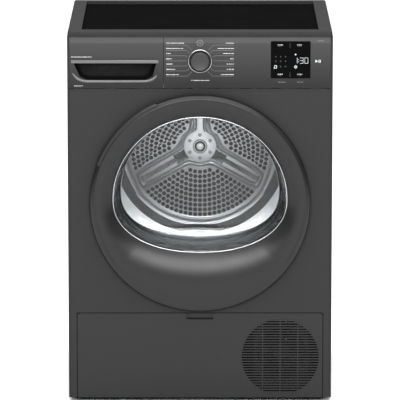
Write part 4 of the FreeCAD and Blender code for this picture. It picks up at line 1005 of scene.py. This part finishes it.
def small_parts():
    """Felt ring that seals the drum, a near-black strip of painted shade in the gap round the base cover's
    opening, and the screws of the back.
    """
    felt_ring = Mesh().turned([(241, -203), (240.6, -207), (243, -209.4), (249, -209.4), (251.6, -207.2),
                               (251, -203)], 0, DRUM_Z, 144)
    felt_ring.add("drum_felt_seal", "felt", "root", "light_plastic", 60)
    low, high = corners("kick_plate")
    half, top = high.x / MM + 0.9, high.z / MM + 0.9
    # Painted shade: a near-black strip laid in the gap round the base cover.
    seal = []
    for inset, y in ((0, 0.2), (0.0, -0.02), (1.9, -0.02), (1.9, 0.2)):
        outline = rounded(-half + inset, half - inset, low.z / MM - 4 + inset, top - inset, 9.0 - inset)
        seal.append([(x, FACE_Y + y, z) for x, z in outline])
    Mesh().loft(seal, across=True).add("base_cover_gap_shade", "painted_shade_black", "root", "rubber", 50)
    low, high = corners("rear_panel")
    y = high.y / MM
    screws = Mesh()
    places = [(side * 286, z) for side in (-1, 1) for z in (60, 240, 420, 600, 780)]
    places += [(x, high.z / MM - 12) for x in (-200, 0, 200)]
    for x, z in places:
        screws.turned([(5.6, y + 0.1), (5.4, y + 1.2), (4.2, y + 2.3), (2.4, y + 2.5), (2.0, y + 1.2),
                       (0.2, y + 1.1)], x, z, 14, end_cap=True)
    screws.add("rear_screws", "galvanised", "root", "galvanised", 40)


# --- studio ---------------------------------------------------------------------------------

SKY_LOW, SKY_HIGH = 0.08, 1.6                       # sky strength at the horizon and overhead
CAMERA_LENS, CAMERA_PITCH = 373.0, 10.41            # millimetres, degrees down
CAMERA_AWAY, CAMERA_UP = 9.204, 2.157               # metres from the front plane, above the floor


def area_light(name, place, aim, width, height, power):
    light = bpy.data.lights.new(name, "AREA")
    light.shape = "RECTANGLE"
    light.size, light.size_y = width, height
    light.energy = power
    thing = bpy.data.objects.new(name, light)
    thing.location = place
    thing.rotation_euler = (Vector(aim) - Vector(place)).to_track_quat("-Z", "Y").to_euler()
    bpy.context.scene.collection.objects.link(thing)
    return thing


def studio():
    scene = bpy.context.scene
    scene.view_settings.view_transform = "Standard"
    world = bpy.data.worlds.new("studio")
    scene.world = world
    world.use_nodes = True
    background = world.node_tree.nodes["Background"]
    background.inputs["Color"].default_value = (1.0, 1.0, 1.0, 1.0)
    tree = world.node_tree
    direction = tree.nodes.new("ShaderNodeTexCoord")
    split = tree.nodes.new("ShaderNodeSeparateXYZ")
    height = tree.nodes.new("ShaderNodeMapRange")
    height.interpolation_type = "SMOOTHSTEP"
    height.inputs["From Min"].default_value = 0.0
    height.inputs["From Max"].default_value = 1.0
    height.inputs["To Min"].default_value = SKY_LOW
    height.inputs["To Max"].default_value = SKY_HIGH
    tree.links.new(direction.outputs["Generated"], split.inputs["Vector"])
    tree.links.new(split.outputs["Z"], height.inputs["Value"])
    tree.links.new(height.outputs["Result"], background.inputs["Strength"])
    floor_mesh = bpy.data.meshes.new("floor")
    reach = 60.0
    floor_mesh.from_pydata([(-reach, -reach, 0), (reach, -reach, 0), (reach, reach, 0),
                            (-reach, reach, 0)], [], [(0, 1, 2, 3)])
    floor = bpy.data.objects.new("floor", floor_mesh)
    scene.collection.objects.link(floor)
    paint = Shader("floor_paint", (0.92, 0.92, 0.92), 0.9, Specular_IOR_Level=0.1)
    paint.vary_roughness(0.3, 0.03)
    floor_mesh.materials.append(paint.material)
    area_light("overhead", (0.0, -0.9, 3.6), (0.0, 0.0, 0.3), 5.0, 4.0, 150)
    area_light("front_soft", (0.0, -7.0, 2.9), (0.0, 0.0, 0.5), 4.5, 2.2, 430)


def camera():
    data = bpy.data.cameras.new("camera")
    data.sensor_width = 36.0
    data.lens = CAMERA_LENS
    data.clip_start, data.clip_end = 0.1, 100.0
    thing = bpy.data.objects.new("camera", data)
    thing.location = (0.0, FRONT - CAMERA_AWAY, CAMERA_UP)
    thing.rotation_euler = (math.radians(90 - CAMERA_PITCH), 0.0, 0.0)
    bpy.context.scene.collection.objects.link(thing)
    bpy.context.scene.camera = thing


dress_cad_nodes()
door_pieces()
drum_pieces()
hub_fasteners()
fascia_print()
display_marks()
dial()
tank_grip()
small_parts()
studio()
camera()
